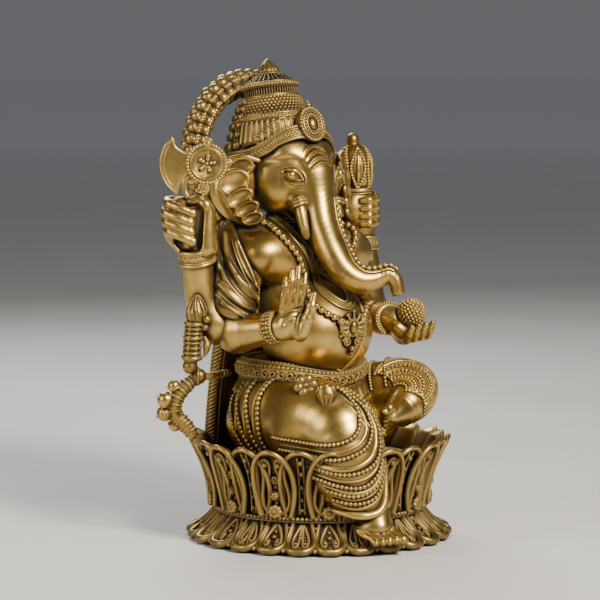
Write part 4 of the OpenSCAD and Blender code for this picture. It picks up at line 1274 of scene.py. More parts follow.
def crown_hoop(parts, radius, height, size):
    parts.tube(round_crown(full_turn(120), radius, height), size, 8, closed=True)


def crown_slope(height):
    """Radius of the pillared tier and of what lies on it."""
    return 26.2 - (height - 3) * 0.29


def make_crown():
    """Pillared tier, brow band, lattice, ribbed drum, roof and finial."""
    tier, field = Parts(), Parts()
    field.lathe([(2, 1), (26, 1), (26.2, 4), (24.2, 13), (22, 16.2), (2, 16.2)], 240, crown, samples=70)
    bars = 44
    for k in range(bars):
        a = k * 2 * math.pi / bars
        h = np.linspace(3, 14.2, 8)
        tier.tube(round_crown(a, crown_slope(h) + 0.2, h), 1.12, 8)
    crown_hoop(tier, 22.6, 15.9, 0.8)
    crown_ring(tier, crown_slope(14.8) - 0.6, 14.9, bars, 0.8, 2, 0.5)
    for k, (a, size) in enumerate(zip(np.radians([98, 112, 127, 143, 160, 180]),
                                      (2.6, 3.2, 3.6, 3.6, 3.4, 3.2))):
        for side in ((-1, 1) if k < 5 else (1,)):
            for h, grow in ((2.5, 1.1), (8.5, 1.0), (14, 0.9), (19, 0.78), (23.5, 0.66), (27.5, 0.55)):
                tier.balls(round_crown([side * a], crown_slope(h) - 0.09 * max(h - 15, 0) + 0.4, h),
                           size * grow, 3)
    tier.object("crown_tier_piece", ["crown_tier"])
    band = Parts()
    half = [(0, 6.4, 227.2), (-3.5, 6.5, 227.9), (-7.5, 7.0, 228.5), (-13, 9.4, 227.4),
            (-19.3, 13.4, 224.4), (-24.2, 17.2, 219.9),
            (-28.4, 25.8, 215.3), (-29.6, 34, 213.0), (-27.5, 48, 212.3), (-16, 59.5, 212), (0, 63, 212)]
    loop = half + [(-x, y, z) for x, y, z in half[-2:0:-1]]
    low = evenly(smooth_path(loop, 400, closed=True), count=300, closed=True)
    centre = vec(-0.5, 35, 0)
    out = unit((low - centre) * [1, 1, 0])
    low = low + out * 0.9
    rise = vec(0, 0.12, 1) - out * 0.30
    levels = np.linspace(0, 1, 9)
    bulge = 0.9 * np.sin(levels * math.pi)
    grid = low[:, None] + rise[:, None] * 6.4 * levels[None, :, None] + out[:, None] * bulge[None, :, None]
    field.sheet(grid[::-1], thick=2.6, closed_u=True)
    for level, size in ((0.02, 0.95), (0.22, 0.5), (0.80, 0.5), (0.98, 0.85)):
        band.tube(low + rise * 6.4 * level + out * (0.9 * math.sin(level * math.pi) + 0.15), size, 8,
                  closed=True)
    mid = low + rise * 3.25 + out * 1.0
    wave = np.linspace(0, 44 * 2 * math.pi, 300 * 3, endpoint=False)
    long_mid = evenly(mid, count=900, closed=True)
    long_rise = np.repeat(rise, 3, axis=0)
    for phase in (0, math.pi):
        band.tube(long_mid + long_rise * (1.05 * np.sin(wave + phase))[:, None], 0.38, 5, closed=True)
    band.balls(evenly(mid, count=88, closed=True), 0.62, 1)
    edge = evenly(low + rise * 6.9 + out * 0.4, count=96, closed=True)
    band.balls(edge, 0.75, 1)
    for side in (-1, 1):
        for k in range(6):
            at = low[(18 + 8 * k) if side < 0 else (300 - 18 - 8 * k)] + vec(0, 0, 10.2)
            h = (at[2] - CROWN_AT[2]) / math.cos(CROWN_LEAN)
            axis = crown(vec(0, 0, h))
            away = unit((at - axis) * [1, 1, 0])
            at = axis + away * (crown_slope(h) + 1.6)
            across = np.cross(UP, away) * side
            turn = np.linspace(0.4, 2.9 * math.pi, 30)
            radius = np.linspace(3.1, 0.6, 30)
            curl = at + (radius * np.cos(turn))[:, None] * across + (radius * np.sin(turn))[:, None] * UP
            band.tube(curl - away * 0.9, 0.8, 6)
            band.balls(np.array([at - away * 0.8, at + UP * 3.6 + across * 2.2 - away * 1.6]),
                       vec(1.2, 1.1))
    band.object("crown_band_piece", ["crown_band"])
    lattice = Parts()
    field.lathe([(2, 15.8), (22.6, 15.8), (23, 16.8), (21.5, 17.8), (19.7, 18.2), (15.2, 29.2), (2, 29.2)],
                160, crown,
                samples=50)
    crown_hoop(lattice, 22.4, 18.1, 0.7)
    crown_ring(lattice, 22.7, 16.9, 72, 1.0, 2)
    rows = 6
    for k in range(rows):
        h = 19.3 + k * 1.78
        crown_ring(lattice, 20.5 - (h - 18) * 0.42, h, 48, 1.16 - 0.04 * k, 2, 0.5 * (k % 2))
    crown_hoop(lattice, 16.0, 29.2, 0.8)
    lattice.object("crown_lattice_piece", ["crown_lattice"])
    # the crown's fields take the darker brass: patina plus painted shade
    field.object("crown_fields_piece", [], finish="field_brass_patina_and_shade")
    drum = Parts()
    ribs = 60
    drum.lathe([(2, 29), (15.5, 29), (15.0, 30.4), (15.0, 34.4), (15.9, 35.4), (2, 35.4)], 480, crown,
               samples=40,
               relief=lambda a, h: 0.5 * np.cos(ribs * a) * clamp((h - 29.6) * 2) * clamp((35 - h) * 2))
    crown_hoop(drum, 15.7, 29.8, 0.6)
    crown_hoop(drum, 15.6, 34.8, 0.5)
    drum.object("crown_drum_piece", ["crown_drum"])
    roof = Parts()
    roof.lathe([(2, 35.2), (16.3, 35.3), (16.8, 36.2), (14.8, 37.4), (10.8, 40.4), (6.8, 42.8), (6.4, 43.8),
                (2, 43.8)], 384, crown,
               samples=54, relief=lambda a, h: 0.6 * np.cos(30 * a) * clamp((h - 37) * 1.2) * clamp(43 - h))
    crown_ring(roof, 16.5, 35.8, 60, 1.0, 2)
    crown_hoop(roof, 15.8, 37.0, 0.6)
    crown_hoop(roof, 6.6, 43.2, 0.6)
    roof.object("crown_roof_piece", ["crown_roof"])
    finial = Parts()
    finial.lathe([(0.5, 43.4), (6.2, 43.6), (6.5, 44.4), (5.9, 46.0), (4.0, 48.7), (2.1, 50.8), (0.9, 52.0),
                  (0, 52.3)], 96, crown,
                 samples=50, relief=lambda a, h: 0.22 * np.cos(14 * a) * clamp((50 - h) / 3))
    finial.object("crown_finial_piece", ["crown_finial"])


def disc_frame(centre, out, top):
    """Maps (across, up, proud) rows onto a disc."""
    out = unit(out)
    side = unit(np.cross(top, out))
    high = np.cross(out, side)

    def at(p):
        p = np.asarray(p, float)
        return np.asarray(centre, float) + p[..., :1] * side + p[..., 1:2] * high + p[..., 2:3] * out
    return at


def disc_ring(parts, at, radius, count, size, proud, stretch=1.0):
    a = full_turn(count)
    ring = xyz(radius * np.sin(a), radius * stretch * np.cos(a), proud)
    parts.balls(at(ring), size)


def disc_hoop(parts, at, radius, size, proud, stretch=1.0):
    a = full_turn(60)
    ring = xyz(radius * np.sin(a), radius * stretch * np.cos(a), proud)
    parts.tube(at(ring), size, 8, closed=True)


def make_medallion():
    """Oval plate with a gem, on the brow band."""
    parts, tall = Parts(), 1.2
    at = disc_frame((-0.4, 6.0, 235.8), (-0.06, -0.93, 0.30), (0, 0.3, 1))
    a = full_turn(64)[:, None]
    r = np.array([[8.0, 8.5, 8.0, 6.0, 4.7, 0.1]])
    proud = np.array([[-5.5, -0.8, 0.4, 0.8, 0.3, 0.3]])
    point = 1 + 0.16 * clamp(np.cos(a))**8
    grid = xyz(-r * np.sin(a), r * tall * point * np.cos(a), proud)
    parts.sheet(at(grid)[::-1], closed_u=True)
    disc_ring(parts, at, 7.8, 30, 1.05, 0.6, stretch=tall)
    disc_hoop(parts, at, 6.3, 0.6, 0.9, tall)
    disc_ring(parts, at, 4.9, 20, 0.82, 0.9, stretch=tall)
    disc_hoop(parts, at, 3.8, 0.5, 1.0, tall)
    v, f = SPHERES[3]
    parts.add(at(v * [3.0, 3.8, 2.3] + [0, 0, 0.4]), tris=f)
    parts.balls(at([[0, 11.2, 0.4], [0, 12.8, 0.2]]), vec(1.7, 1.05))
    parts.balls(at([0, 0, 0.2]), 0.5, 1)
    parts.object("crown_medallion_piece", ["crown_medallion"])


def make_halo():
    """Garland arch behind the crown: rows of buds round a tube."""
    parts = Parts()
    span = np.radians(np.linspace(212, -32, 160))
    path = xyz(HALO_R * np.cos(span), HALO_AT[1], HALO_AT[2] + HALO_R * np.sin(span))
    path = np.vstack([smooth_path([(-22, 49, 166), (-30, 55, 182), path[0]], 20)[:-1], path,
                      smooth_path([path[-1], (30, 55, 182), (22, 49, 166)], 20)[1:]])
    path = evenly(path, gap=1.0)
    parts.tube(path, 4.6, 12)
    tangent, _, _ = frames_along(path)
    middle = np.array([0, 62, 218.0])
    out = unit((path - middle) - tangent * np.sum((path - middle) * tangent, 1, keepdims=True))
    side = np.cross(tangent, out)
    n = len(path)
    rows = [(20, 3.7, 6.0, 5.0), (-20, 3.7, 6.0, 5.0), (62, 3.5, 6.0, 5.2), (-62, 3.5, 6.0, 5.2),
            (104, 3.2, 6.0, 5.2),
            (-104, 3.2, 6.0, 5.2), (145, 2.1, 3.8, 6.2), (-145, 2.1, 3.8, 6.2), (180, 1.9, 3.4, 7.0)]
    for row, (around, size, gap, reach) in enumerate(rows):
        a = math.radians(around)
        at = np.arange((row % 2) * gap / 2 + 1, n - 1, gap)
        i = at.astype(int)
        away = math.cos(a) * out[i] + math.sin(a) * side[i]
        grow = 1 - 0.35 * clamp((14 - np.minimum(at, n - 1 - at)) / 14)
        grow = grow * rng.uniform(0.9, 1.08, len(at))
        centre = path[i] + away * reach * np.minimum(grow, 1)[:, None]
        parts.balls(centre, size * grow)
        if 3 < size < 3.6:
            for k in range(-1, 2):
                ridge = centre + (away * 0.72 + tangent[i] * 0.5 * k) * (size * grow)[:, None]
                parts.balls(ridge, size * 0.42 * grow, 1)
    parts.object("halo_garland_piece", ["halo_garland"])


make_crown()
make_medallion()
make_halo()


# ---- axe ---------------------------------------------------------------------------------------
def axe_at(p):
    p = np.asarray(p, float)
    return AXE_EYE + seen(p[..., :1], p[..., 1:2], p[..., 2:3])


def axe_face(face):
    """Maps (across, up, proud) rows onto the boss's face: 1 is the camera's side, -1 the far one."""
    return lambda p: axe_at(np.asarray(p, float) * [face, 1, face])


def make_axe():
    """Crescent blade, round boss with its curls and the handle."""
    blade = Parts()
    n = 40
    s = np.linspace(0, 1, n)
    upper_tip, lower_tip, left = vec(-19.2, 13.8), vec(-17.4, -16.9), vec(-26.0, -0.6)
    edge = smooth_path([upper_tip, (-23.6, 9.2), left, (-23.4, -9.8), lower_tip], n)
    inner = smooth_path([upper_tip, (-17.6, 9.0), (-12.8, 5.6), (-9, 4.6), (-8.6, 0), (-9, -4.8),
                         (-12, -6.6), (-15.6, -11), lower_tip], n)
    across = np.linspace(0, 1, 12)
    flat = edge[:, None] * (1 - across[None, :, None]) + inner[:, None] * across[None, :, None]
    body = clamp(np.sin(s * math.pi))[:, None]**0.6
    thick = 0.25 + (1.75 * np.sin(across * math.pi / 2)**0.8)[None] * body
    front = axe_at(np.dstack([flat, thick]))
    back = axe_at(np.dstack([flat, -thick]))
    blade.sheet(front)
    blade.sheet(back[:, ::-1])
    blade.tube(axe_at(np.column_stack([edge, np.zeros(n)])), 0.5, 6)
    for stretch in (inner[:16], inner[-16:]):
        blade.tube(axe_at(np.column_stack([stretch, np.zeros(16)])), 1.1, 6)
    blade.tube(axe_at(np.column_stack([edge * 0.9 + [-0.7, -0.1], np.full(n, 0.62)])), 0.28, 5)
    blade.object("axe_blade_piece", ["axe_blade"])
    boss = Parts()
    for face in (1, -1):
        at = axe_face(face)
        a = full_turn(72)[:, None]
        r = np.array([[11.0, 11.2, 10.2, 9.2, 7.8, 7.0, 0.1]])
        proud = np.array([[0, 1.2, 2.2, 2.4, 2.0, 1.3, 1.5]])
        boss.sheet(at(xyz(-r * np.sin(a), r * np.cos(a), proud))[::-1], closed_u=True)
        disc_ring(boss, at, 10.7, 36, 0.98, 1.8)
        disc_hoop(boss, at, 8.8, 0.5, 2.5)
        disc_hoop(boss, at, 7.9, 0.3, 2.3)
        for k in range(5):
            b = k * math.pi * 0.4 + 0.2
            for reach, size in ((2.4, 1.05), (4.1, 1.35)):
                boss.balls(at([[reach * math.sin(b), reach * math.cos(b), 1.7]]), size)
        boss.balls(at([[0, 0, 1.8]]), 1.0)
    knob = [(0, 10.2, 0), (0.6, 12.4, 0), (0.3, 13.6, 0)]
    boss.tube(axe_at(smooth_path(knob, 8)), vec(3.4, 3.6, 3.6, 3.4, 3.0, 2.4, 1.7, 1.0), 16)
    turn = np.linspace(0, 3.6 * math.pi, 40)
    curl = xyz(0.4 + np.linspace(2.6, 0.4, 40) * np.cos(turn), 11.9 + np.linspace(2.4, 0.4, 40)
               * np.sin(turn), 3.0)
    boss.tube(axe_at(curl), 0.42, 6)
    leaf = [(10.6, 0.2, 0), (12.0, 0.5, 0), (13.8, 0.9, 0)]
    boss.tube(axe_at(smooth_path(leaf, 8)), np.linspace(2.8, 0.7, 8), 10, flat=0.6, up=FACING)
    for vein in ([(10.4, 1.9, 0.6), (12.4, 2.0, 0.6), (13.9, 1.2, 0.4)],
                 [(10.4, -1.5, 0.6), (12.4, -1.2, 0.6), (13.9, 0.6, 0.4)]):
        boss.tube(axe_at(smooth_path(vein, 10)), 0.5, 6)
    drop = smooth_path([(0.2, -10.4, 0.4), (-0.4, -13, 0.4), (-1.6, -16, 0.6), (-2.6, -18.4, 0.8)], 16)
    boss.tube(axe_at(drop), taper(16, [0, 0.3, 0.7, 1], [2.0, 2.7, 2.4, 1.5]), 10, flat=0.7, up=FACING)
    boss.balls(axe_at(drop[::3] + [0, 0, 1.8]), 0.8)
    strap = smooth_path([(-9.6, -6.4, 0.2), (-12.4, -9.6, 0.4), (-12.6, -14.6, 0.4), (-11, -18.5, 0.6)], 24)
    boss.tube(axe_at(strap), 1.5, 8, flat=0.7, up=FACING)
    arch = smooth_path([(-9.4, -10.6, 0.8), (-5.8, -8.9, 1.0), (-2.8, -10.8, 1.0), (-1.6, -15.5, 1.0)], 24)
    boss.tube(axe_at(arch), 1.6, 8, flat=0.75, up=FACING)
    boss.object("axe_boss_piece", ["axe_boss"])
    handle = Parts()
    low, way = AXE_LOW, AXE_EYE - AXE_LOW
    handle.tube(low + way * np.linspace(-0.02, 0.84, 20)[:, None], 2.3, 14)
    for k in (0.0, 0.03, 0.62, 0.66):
        handle.balls(low + way * k, 3.1, 3, squash=0.5, axis=way)
    handle.object("axe_handle_piece", ["axe_handle"])


def make_mace():
    """Bud on a short stalk, edged with beads."""
    clay = Clay((42, 18, 168), (78, 58, 234), 0.5)
    clay.limb([(60, 35.5, 172), (60.4, 36, 186), (60, 36, 192)], (3.4, 3.4, 4.4), 0)
    clay.limb([(60, 36, 196), (59.4, 36.3, 203), (58.8, 36.6, 212), (58.2, 37, 220)], (5.4, 9.4, 9.8, 4.4),
              1)
    clay.lump((57.6, 37, 225), (3.6, 3.6, 4.2), 1)
    parts = Parts()
    for b in np.radians([-60, 0, 60, 120, 180, 240]):
        for lean in (-1, 1):
            z = np.linspace(196, 221, 22)
            a = b + lean * 0.42 * np.sin((z - 196) / 25 * math.pi)
            starts = xyz(59 + 24 * np.cos(a), 36.5 + 24 * np.sin(a), z)
            q, _ = land(clay, starts, xyz(-np.cos(a), -np.sin(a), 0), 0.3, 30, 0.3)
            parts.balls(evenly(q, gap=1.9), 0.95)
        ridge = xyz(59 + 24 * math.cos(b), 36.5 + 24 * math.sin(b), z)
        q, _ = land(clay, ridge[2:-3], -vec(math.cos(b), math.sin(b), 0), 0.15, 30, 0.3)
        parts.tube(q, taper(len(q), [0, 0.4, 1], [0.5, 1.5, 0.4]), 8)
    solid("lotus_mace_piece", clay, ["lotus_mace"], parts)


make_axe()
make_mace()


# ---- jewellery and drapery on the body -----------------------------------------------------------
def bead_string(parts, path, size):
    """Beads along a path, on their thread."""
    parts.balls(evenly(path, gap=size * 2.15), size)
    parts.tube(evenly(path, gap=1.2), size * 0.35, 5)


def shin_axis(z):
    """Middle of the right shin at each height."""
    k = np.clip((66 - np.asarray(z)) / 44, -0.3, 1)[:, None]
    low = vec(-26, -50, 0) * (1 - k) + vec(-17, -60, 0) * k
    return low * [1, 1, 0] + np.asarray(z)[:, None] * UP


LEG_REACH = 46                             # from the middle of the leg to clear air


def on_shin(route, lift, samples=70):
    """Lands a route of (degrees round from the camera's side, height) on the right leg."""
    way = smooth_path(route, samples)
    a, z = np.radians(way[:, 0]), way[:, 1]
    out = seen(np.sin(a)[:, None], 0, np.cos(a)[:, None])
    return land(right_leg, shin_axis(z) + out * LEG_REACH, -out, lift, reach=LEG_REACH + 6)[0]


def on_thigh(y, first, last, samples, lift, lean=0):
    """Lands a line round the right thigh on the leg; lean slants it along Y."""
    a = np.radians(np.linspace(first, last, samples))
    out = xyz(np.cos(a), 0, np.sin(a))
    slant = xyz(0, lean * np.clip(-np.sin(a), -0.5, 1), 0)
    return land(right_leg, vec(-23, y, 71) + out * LEG_REACH + slant, -out, lift, reach=50)[0]


SWAGS = [[(-100, 63), (-60, 62), (-13, 63), (22, 67.5), (44, 76), (54, 86), (50, 93)],
         [(-95, 57), (-55, 55), (-13, 54.6), (30, 60), (55, 68), (68, 79), (66, 90)],
         [(-88, 51.5), (-45, 47.5), (-8, 46.3), (30, 49.5), (60, 57), (78, 67), (84, 80)],
         [(-70, 44), (-30, 39.7), (5, 39), (35, 43), (62, 52), (82, 64), (92, 79)],
         [(-52, 36.6), (-12, 34), (30, 37.5), (60, 45), (82, 56), (98, 72)],
         [(-50, 31.6), (-10, 29.7), (35, 33), (62, 41), (88, 54), (104, 68)]]
FOLDS = [([(-95, 59.6), (-55, 58.4), (-13, 58.6), (28, 63.6), (52, 72), (62, 83)], 0.8),
         ([(-90, 53.5), (-45, 49.8), (-5, 49.2), (30, 53.4), (58, 61.4), (74, 73), (76, 86)], 1.7),
         ([(-80, 47.5), (-38, 43.2), (0, 42.4), (34, 46.2), (62, 54.6), (82, 67)], 0.9),
         ([(-60, 39.6), (-20, 36.2), (12, 36.2), (40, 40), (66, 49), (86, 61), (98, 76)], 1.4),
         ([(-50, 33.6), (-10, 31.8), (34, 35.2), (62, 43), (84, 54)], 0.8),
         ([(-58, 29), (-18, 26.6), (30, 29.6), (62, 37), (90, 49), (108, 64)], 1.2)]


def make_leg_drapery():
    """Folds, strings of beads and the hem on the right leg."""
    parts = Parts()
    for fold, size in FOLDS:
        path = on_shin(fold, -0.1)
        parts.tube(path, size * taper(len(path), [0, 0.15, 0.85, 1], [0.4, 1, 1, 0.5]), 8)
    for swag in SWAGS:
        bead_string(parts, on_shin(swag, 0.9, samples=110), 1.18)
    hem = [(-70, 25.5), (-30, 23.2), (15, 23), (50, 26), (84, 35), (102, 50)]
    low = on_shin(hem, 0.9)
    parts.tube(low, taper(len(low), [0, 0.2, 0.8, 1], [1.2, 2.3, 2.2, 1.0]), 10)
    edge = [(104, 28), (100, 40), (96, 54), (90, 68), (82, 82)]
    parts.tube(on_shin(edge, 0.2), 1.3, 8)
    for around, step in ((112, 0), (122, -2)):
        column = [(around, 30 + step), (around - 6, 46), (around - 14, 64), (around - 26, 82),
                  (around - 34, 92)]
        bead_string(parts, on_shin(column, 0.9, samples=100), 1.1)
    for y0, size, lean in ((-1.5, 1.35, -3), (7.5, 1.35, -6), (17, 1.3, -9), (25, 1.2, -10)):
        bead_string(parts, on_thigh(y0, 64, 232, 70, 0.9, lean), size)
    for y0 in (3, 12, 21):
        parts.tube(on_thigh(y0, 70, 225, 50, -0.2), 1.0, 8)
    for start, mid, end in (((30, 84), (44, 80), (52, 70)), ((36, 88), (52, 82), (60, 70))):
        parts.tube(on_shin([start, mid, end], -0.25), np.linspace(0.5, 0.9, 70), 6)
    return parts


def view_landing(clay, route, lift, samples=60):
    """Lands a route of (right, up) mm, as the camera sees it, on clay."""
    way = smooth_path(route, samples)
    return land(clay, seen(way[:, :1], way[:, 1:2], 60), -FACING, lift, reach=100)[0]


def make_left_drapery():
    """Beaded hems and a granulated edge round the folded left knee."""
    parts = Parts()
    centre = vec(50, -12, 80)
    down = unit(-FACING * 0.94 - UP * 0.34)
    rows = [(1.20, 1.62, 0.75, "bead"), (1.18, 1.50, 0.75, "bead"), (1.15, 1.38, 0.75, "bead"),
            (1.12, 1.27, 1.2, "cord"),
            (1.06, 1.13, 0.9, "bead"), (1.0, 1.0, 1.15, "bead"), (0.93, 0.93, 0.8, "bead"),
            (0.86, 0.86, 1.4, "cord"),
            (0.78, 0.78, 1.15, "bead"), (0.70, 0.70, 0.8, "bead"), (0.62, 0.62, 1.3, "cord"),
            (0.54, 0.54, 1.0, "bead"),
            (0.46, 0.46, 0.8, "bead"), (0.38, 0.38, 1.1, "cord"), (0.28, 0.28, 0.9, "bead")]
    for k, (wide, tall, size, kind) in enumerate(rows):
        a = np.radians(np.linspace(158 - 3 * k, -56 + 2 * k, 90))
        ring = np.stack([15.5 * wide * np.cos(a) + 2.5 - 4 * (1 - wide), 13.5 * tall * np.sin(a) - 1 - 5
                         * (1 - min(tall, 1))], -1)
        starts = centre + seen(ring[:, :1], ring[:, 1:2] + 18, 50)
        q = land(left_leg, starts, down, 0.5, reach=110)[0]
        q = q[left_leg.at(q) < 1.4]
        q = q[np.concatenate([[True], np.linalg.norm(np.diff(q, axis=0), axis=1) < 4])]
        if len(q) < 4:
            continue
        if kind == "cord":
            parts.tube(evenly(q, gap=1.2), size, 8)
        else:
            bead_string(parts, q, size)
    for x0, size in ((28, 1.1), (33, 0.9), (38, 1.1), (43, 0.9), (48, 1.1)):
        a = np.radians(np.linspace(20, 150, 60))
        axis = unit(vec(29, -41, 14))
        side = unit(np.cross(axis, UP))
        top = np.cross(side, axis)
        middle = vec(24, 22, 68) + (x0 - 24) / 29 * vec(29, -41, 14)
        out = np.cos(a)[:, None] * side + np.sin(a)[:, None] * top
        bead_string(parts, land(left_leg, middle + out * 40, -out, 0.8, reach=46)[0], size)
    return parts


leg_extra = make_leg_drapery()
left_extra = make_left_drapery()
solid("right_leg_piece", right_leg, ["right_leg"], leg_extra)
solid("left_leg_piece", left_leg, ["left_leg"], left_extra)


BELT_AT, BELT_WIDE, BELT_DEEP, BELT_HALF = vec(0, 15.5, 96.5), 34.5, 31.0, 4.6


def belt_point(around, section, lift=0.0):
    """Place on the belt: degrees round from the front, then degrees up its section from straight out."""
    a, s = np.radians(around), np.radians(section)
    out = xyz(np.sin(a), -np.cos(a), 0)
    dip = -5.0 * np.exp(-(np.asarray(around) / 42)**2)
    ring = xyz(BELT_WIDE * np.sin(a), -BELT_DEEP * np.cos(a), dip) + BELT_AT
    reach = BELT_HALF + lift
    return ring + out * (reach * np.cos(s))[..., None] + UP * (1.15 * reach * np.sin(s))[..., None]


def make_belt():
    """Thick girdle under the belly: bead rows, ropes and a row of scrolls round an oval ring."""
    parts = Parts()
    around = np.linspace(-180, 180, 120, endpoint=False)
    section = np.linspace(0, 360, 20, endpoint=False)
    grid = belt_point(around[:, None], section[None, :])
    parts.sheet(np.concatenate([grid, grid[:, :1]], axis=1), closed_u=True)
    fine = np.linspace(-180, 180, 300, endpoint=False)
    for height, size, kind in ((-62, 1.1, "bead"), (-38, 0.9, "rope"), (22, 0.7, "rope"),
                               (40, 1.25, "bead"), (66, 0.8, "rope"),
                               (84, 1.15, "bead"), (104, 1.0, "bead")):
        line = belt_point(fine, height)
        if kind == "rope":
            parts.tube(line, size, 6, closed=True)
        else:
            parts.balls(evenly(line, gap=size * 2.1, closed=True), size, 1)
    curls = 46
    for i in range(curls):
        turn, flip = np.linspace(0, 2.6 * math.pi, 16), 1 if i % 2 else -1
        radius = np.linspace(2.4, 0.6, 16)
        spin = i * 360 / curls + radius * np.cos(turn) / 33 * 57.3
        spin = (spin + 180) % 360 - 180
        parts.tube(belt_point(spin, -8 + flip * radius * np.sin(turn) * 12, 0.5), 0.62, 5)
        mid = (i + 0.5) * 360 / curls
        mid = (mid + 180) % 360 - 180
        parts.balls(belt_point(mid, vec(-24, 12), 0.4), 0.95, 1)
    round_about = np.linspace(-180, 180, 420, endpoint=False)[:, None]
    turn, hang = np.radians(round_about), np.linspace(0, 1, 10)[None, :]
    wave = np.sin(turn * 44) + 0.5 * np.sin(turn * 27 + 1.7)
    outward = xyz(np.sin(turn), -np.cos(turn), 0)
    frill = belt_point(round_about, -66) + outward * (0.4 + (2.6 + 1.2 * wave) * hang)[..., None]
    parts.sheet(frill - UP * (9.0 * hang)[..., None], thick=0.9, closed_u=True)
    parts.object("belt_piece", ["belt"])


def make_flowers():
    """Two blossoms, a hanging bud and curled leaves where the girdle meets the thigh."""
    flowers = Parts()
    under = [right_leg, torso, hips]

    def thigh(u, z, lift):
        return view_landing(under, [(u, z), (u + 0.1, z), (u + 0.2, z)], lift, 3)[1]

    for u, z, size, petals in ((-15.2, 96.0, 4.2, 6), (-7.6, 91.4, 6.0, 6), (11.4, 92.4, 4.6, 5)):
        c = thigh(u, z, 0.8)
        at = disc_frame(c, FACING + 0.35 * UP, UP)
        flowers.balls(c, size * 0.62, 2, squash=0.55, axis=FACING)
        for k in range(petals):
            a = k * 2 * math.pi / petals + 0.3
            way = vec(math.sin(a), math.cos(a))
            petal = [(*(way * size * 0.25), 1.6), (*(way * size * 0.6), 2.1), (*(way * size * 0.95), 1.0),
                     (*(way * size * 1.08), -0.2)]
            flowers.tube(at(smooth_path(petal, 9)), taper(9, [0, 0.55, 1], [0.22, 0.46, 0.2]) * size, 10,
                         flat=0.6, up=FACING + 0.35 * UP)
        flowers.balls(at([[0, 0, 2.0]]), size * 0.3)
    heart = thigh(3.5, 87.5, 1.2)
    body = smooth_path([heart + 6 * UP, heart + 2.2 * UP + 1.5 * FACING, heart - 3.4 * UP + 2.0 * FACING,
                        heart - 10.5 * UP + 1.2 * FACING], 22)
    flowers.tube(body, taper(22, [0, 0.18, 0.45, 0.75, 1], [1.8, 4.4, 5.4, 3.4, 0.5]), 18, flat=0.62,
                 up=FACING)
    for side in (-1, 0, 1):
        rib = [heart + 5.2 * UP + 1.4 * FACING, heart + side * 2.9 * SIDEWAYS + 1.4 * UP + 3.9 * FACING,
               heart + side * 2.2 * SIDEWAYS - 3 * UP + 4.4 * FACING, heart - 8.8 * UP + 1.8 * FACING]
        flowers.tube(smooth_path(rib, 16), np.linspace(0.75, 0.45, 16), 6)
        leaf = [heart + 5.0 * UP + side * 1.0 * SIDEWAYS, heart + (4.6 - abs(side)) * UP + side * 3.6
                * SIDEWAYS + 1.6 * FACING,
                heart + 1.0 * UP + side * 5.4 * SIDEWAYS + 1.0 * FACING]
        flowers.tube(smooth_path(leaf, 12), taper(12, [0, 0.5, 1], [1.6, 2.1, 0.5]), 8)
    for side in (-1, 1):
        for k in range(2):
            start = thigh(3.5 + side * (5 + 4 * k), 95.5 - k, 1.0)
            turn = np.linspace(0, 2.5 * math.pi, 22)
            radius = np.linspace(3.4 - 0.6 * k, 0.7, 22)
            curl = seen((side * radius * np.cos(turn))[:, None], (radius * np.sin(turn))[:, None], 0.8)
            flowers.tube(start + curl, 0.8, 6)
    flowers.object("belt_flowers_piece", ["belt_flowers"])


NECK_LOW = vec(0, -26, 133.0)
BEAD_ROUTE = [(-36, 181), (-29, 177.6), (-22.6, 173), (-16, 165.8), (-12.3, 160.4), (-10.2, 153.6),
              (-8, 145), (-4.5, 137),
              (0, 132.2), (6.4, 128.4), (11, 126), (14.5, 124.5)]
BAND_ROUTE = [(-30, 182.8), (-24, 179.4), (-17.6, 174), (-8.6, 163), (-4.6, 152.5), (-2, 144.5),
              (3.6, 138.6), (11, 133.6), (18.5, 131.2)]


def necklace(route, shift, lift, meet=True):
    """Lands a route seen from the camera on the chest and mirrors it to the other side."""
    way = smooth_path(route, 140)
    side = unit(np.gradient(way, axis=0))
    way = way + np.column_stack([-side[:, 1], side[:, 0]]) * shift
    q = land(torso, seen(way[:, :1], way[:, 1:], 60), -FACING, lift, reach=100)[0]
    q = q[q[:, 0] < -0.3]
    mirror = q[::-1] * [-1, 1, 1]
    return [np.vstack([q, mirror])] if meet else [q, mirror]


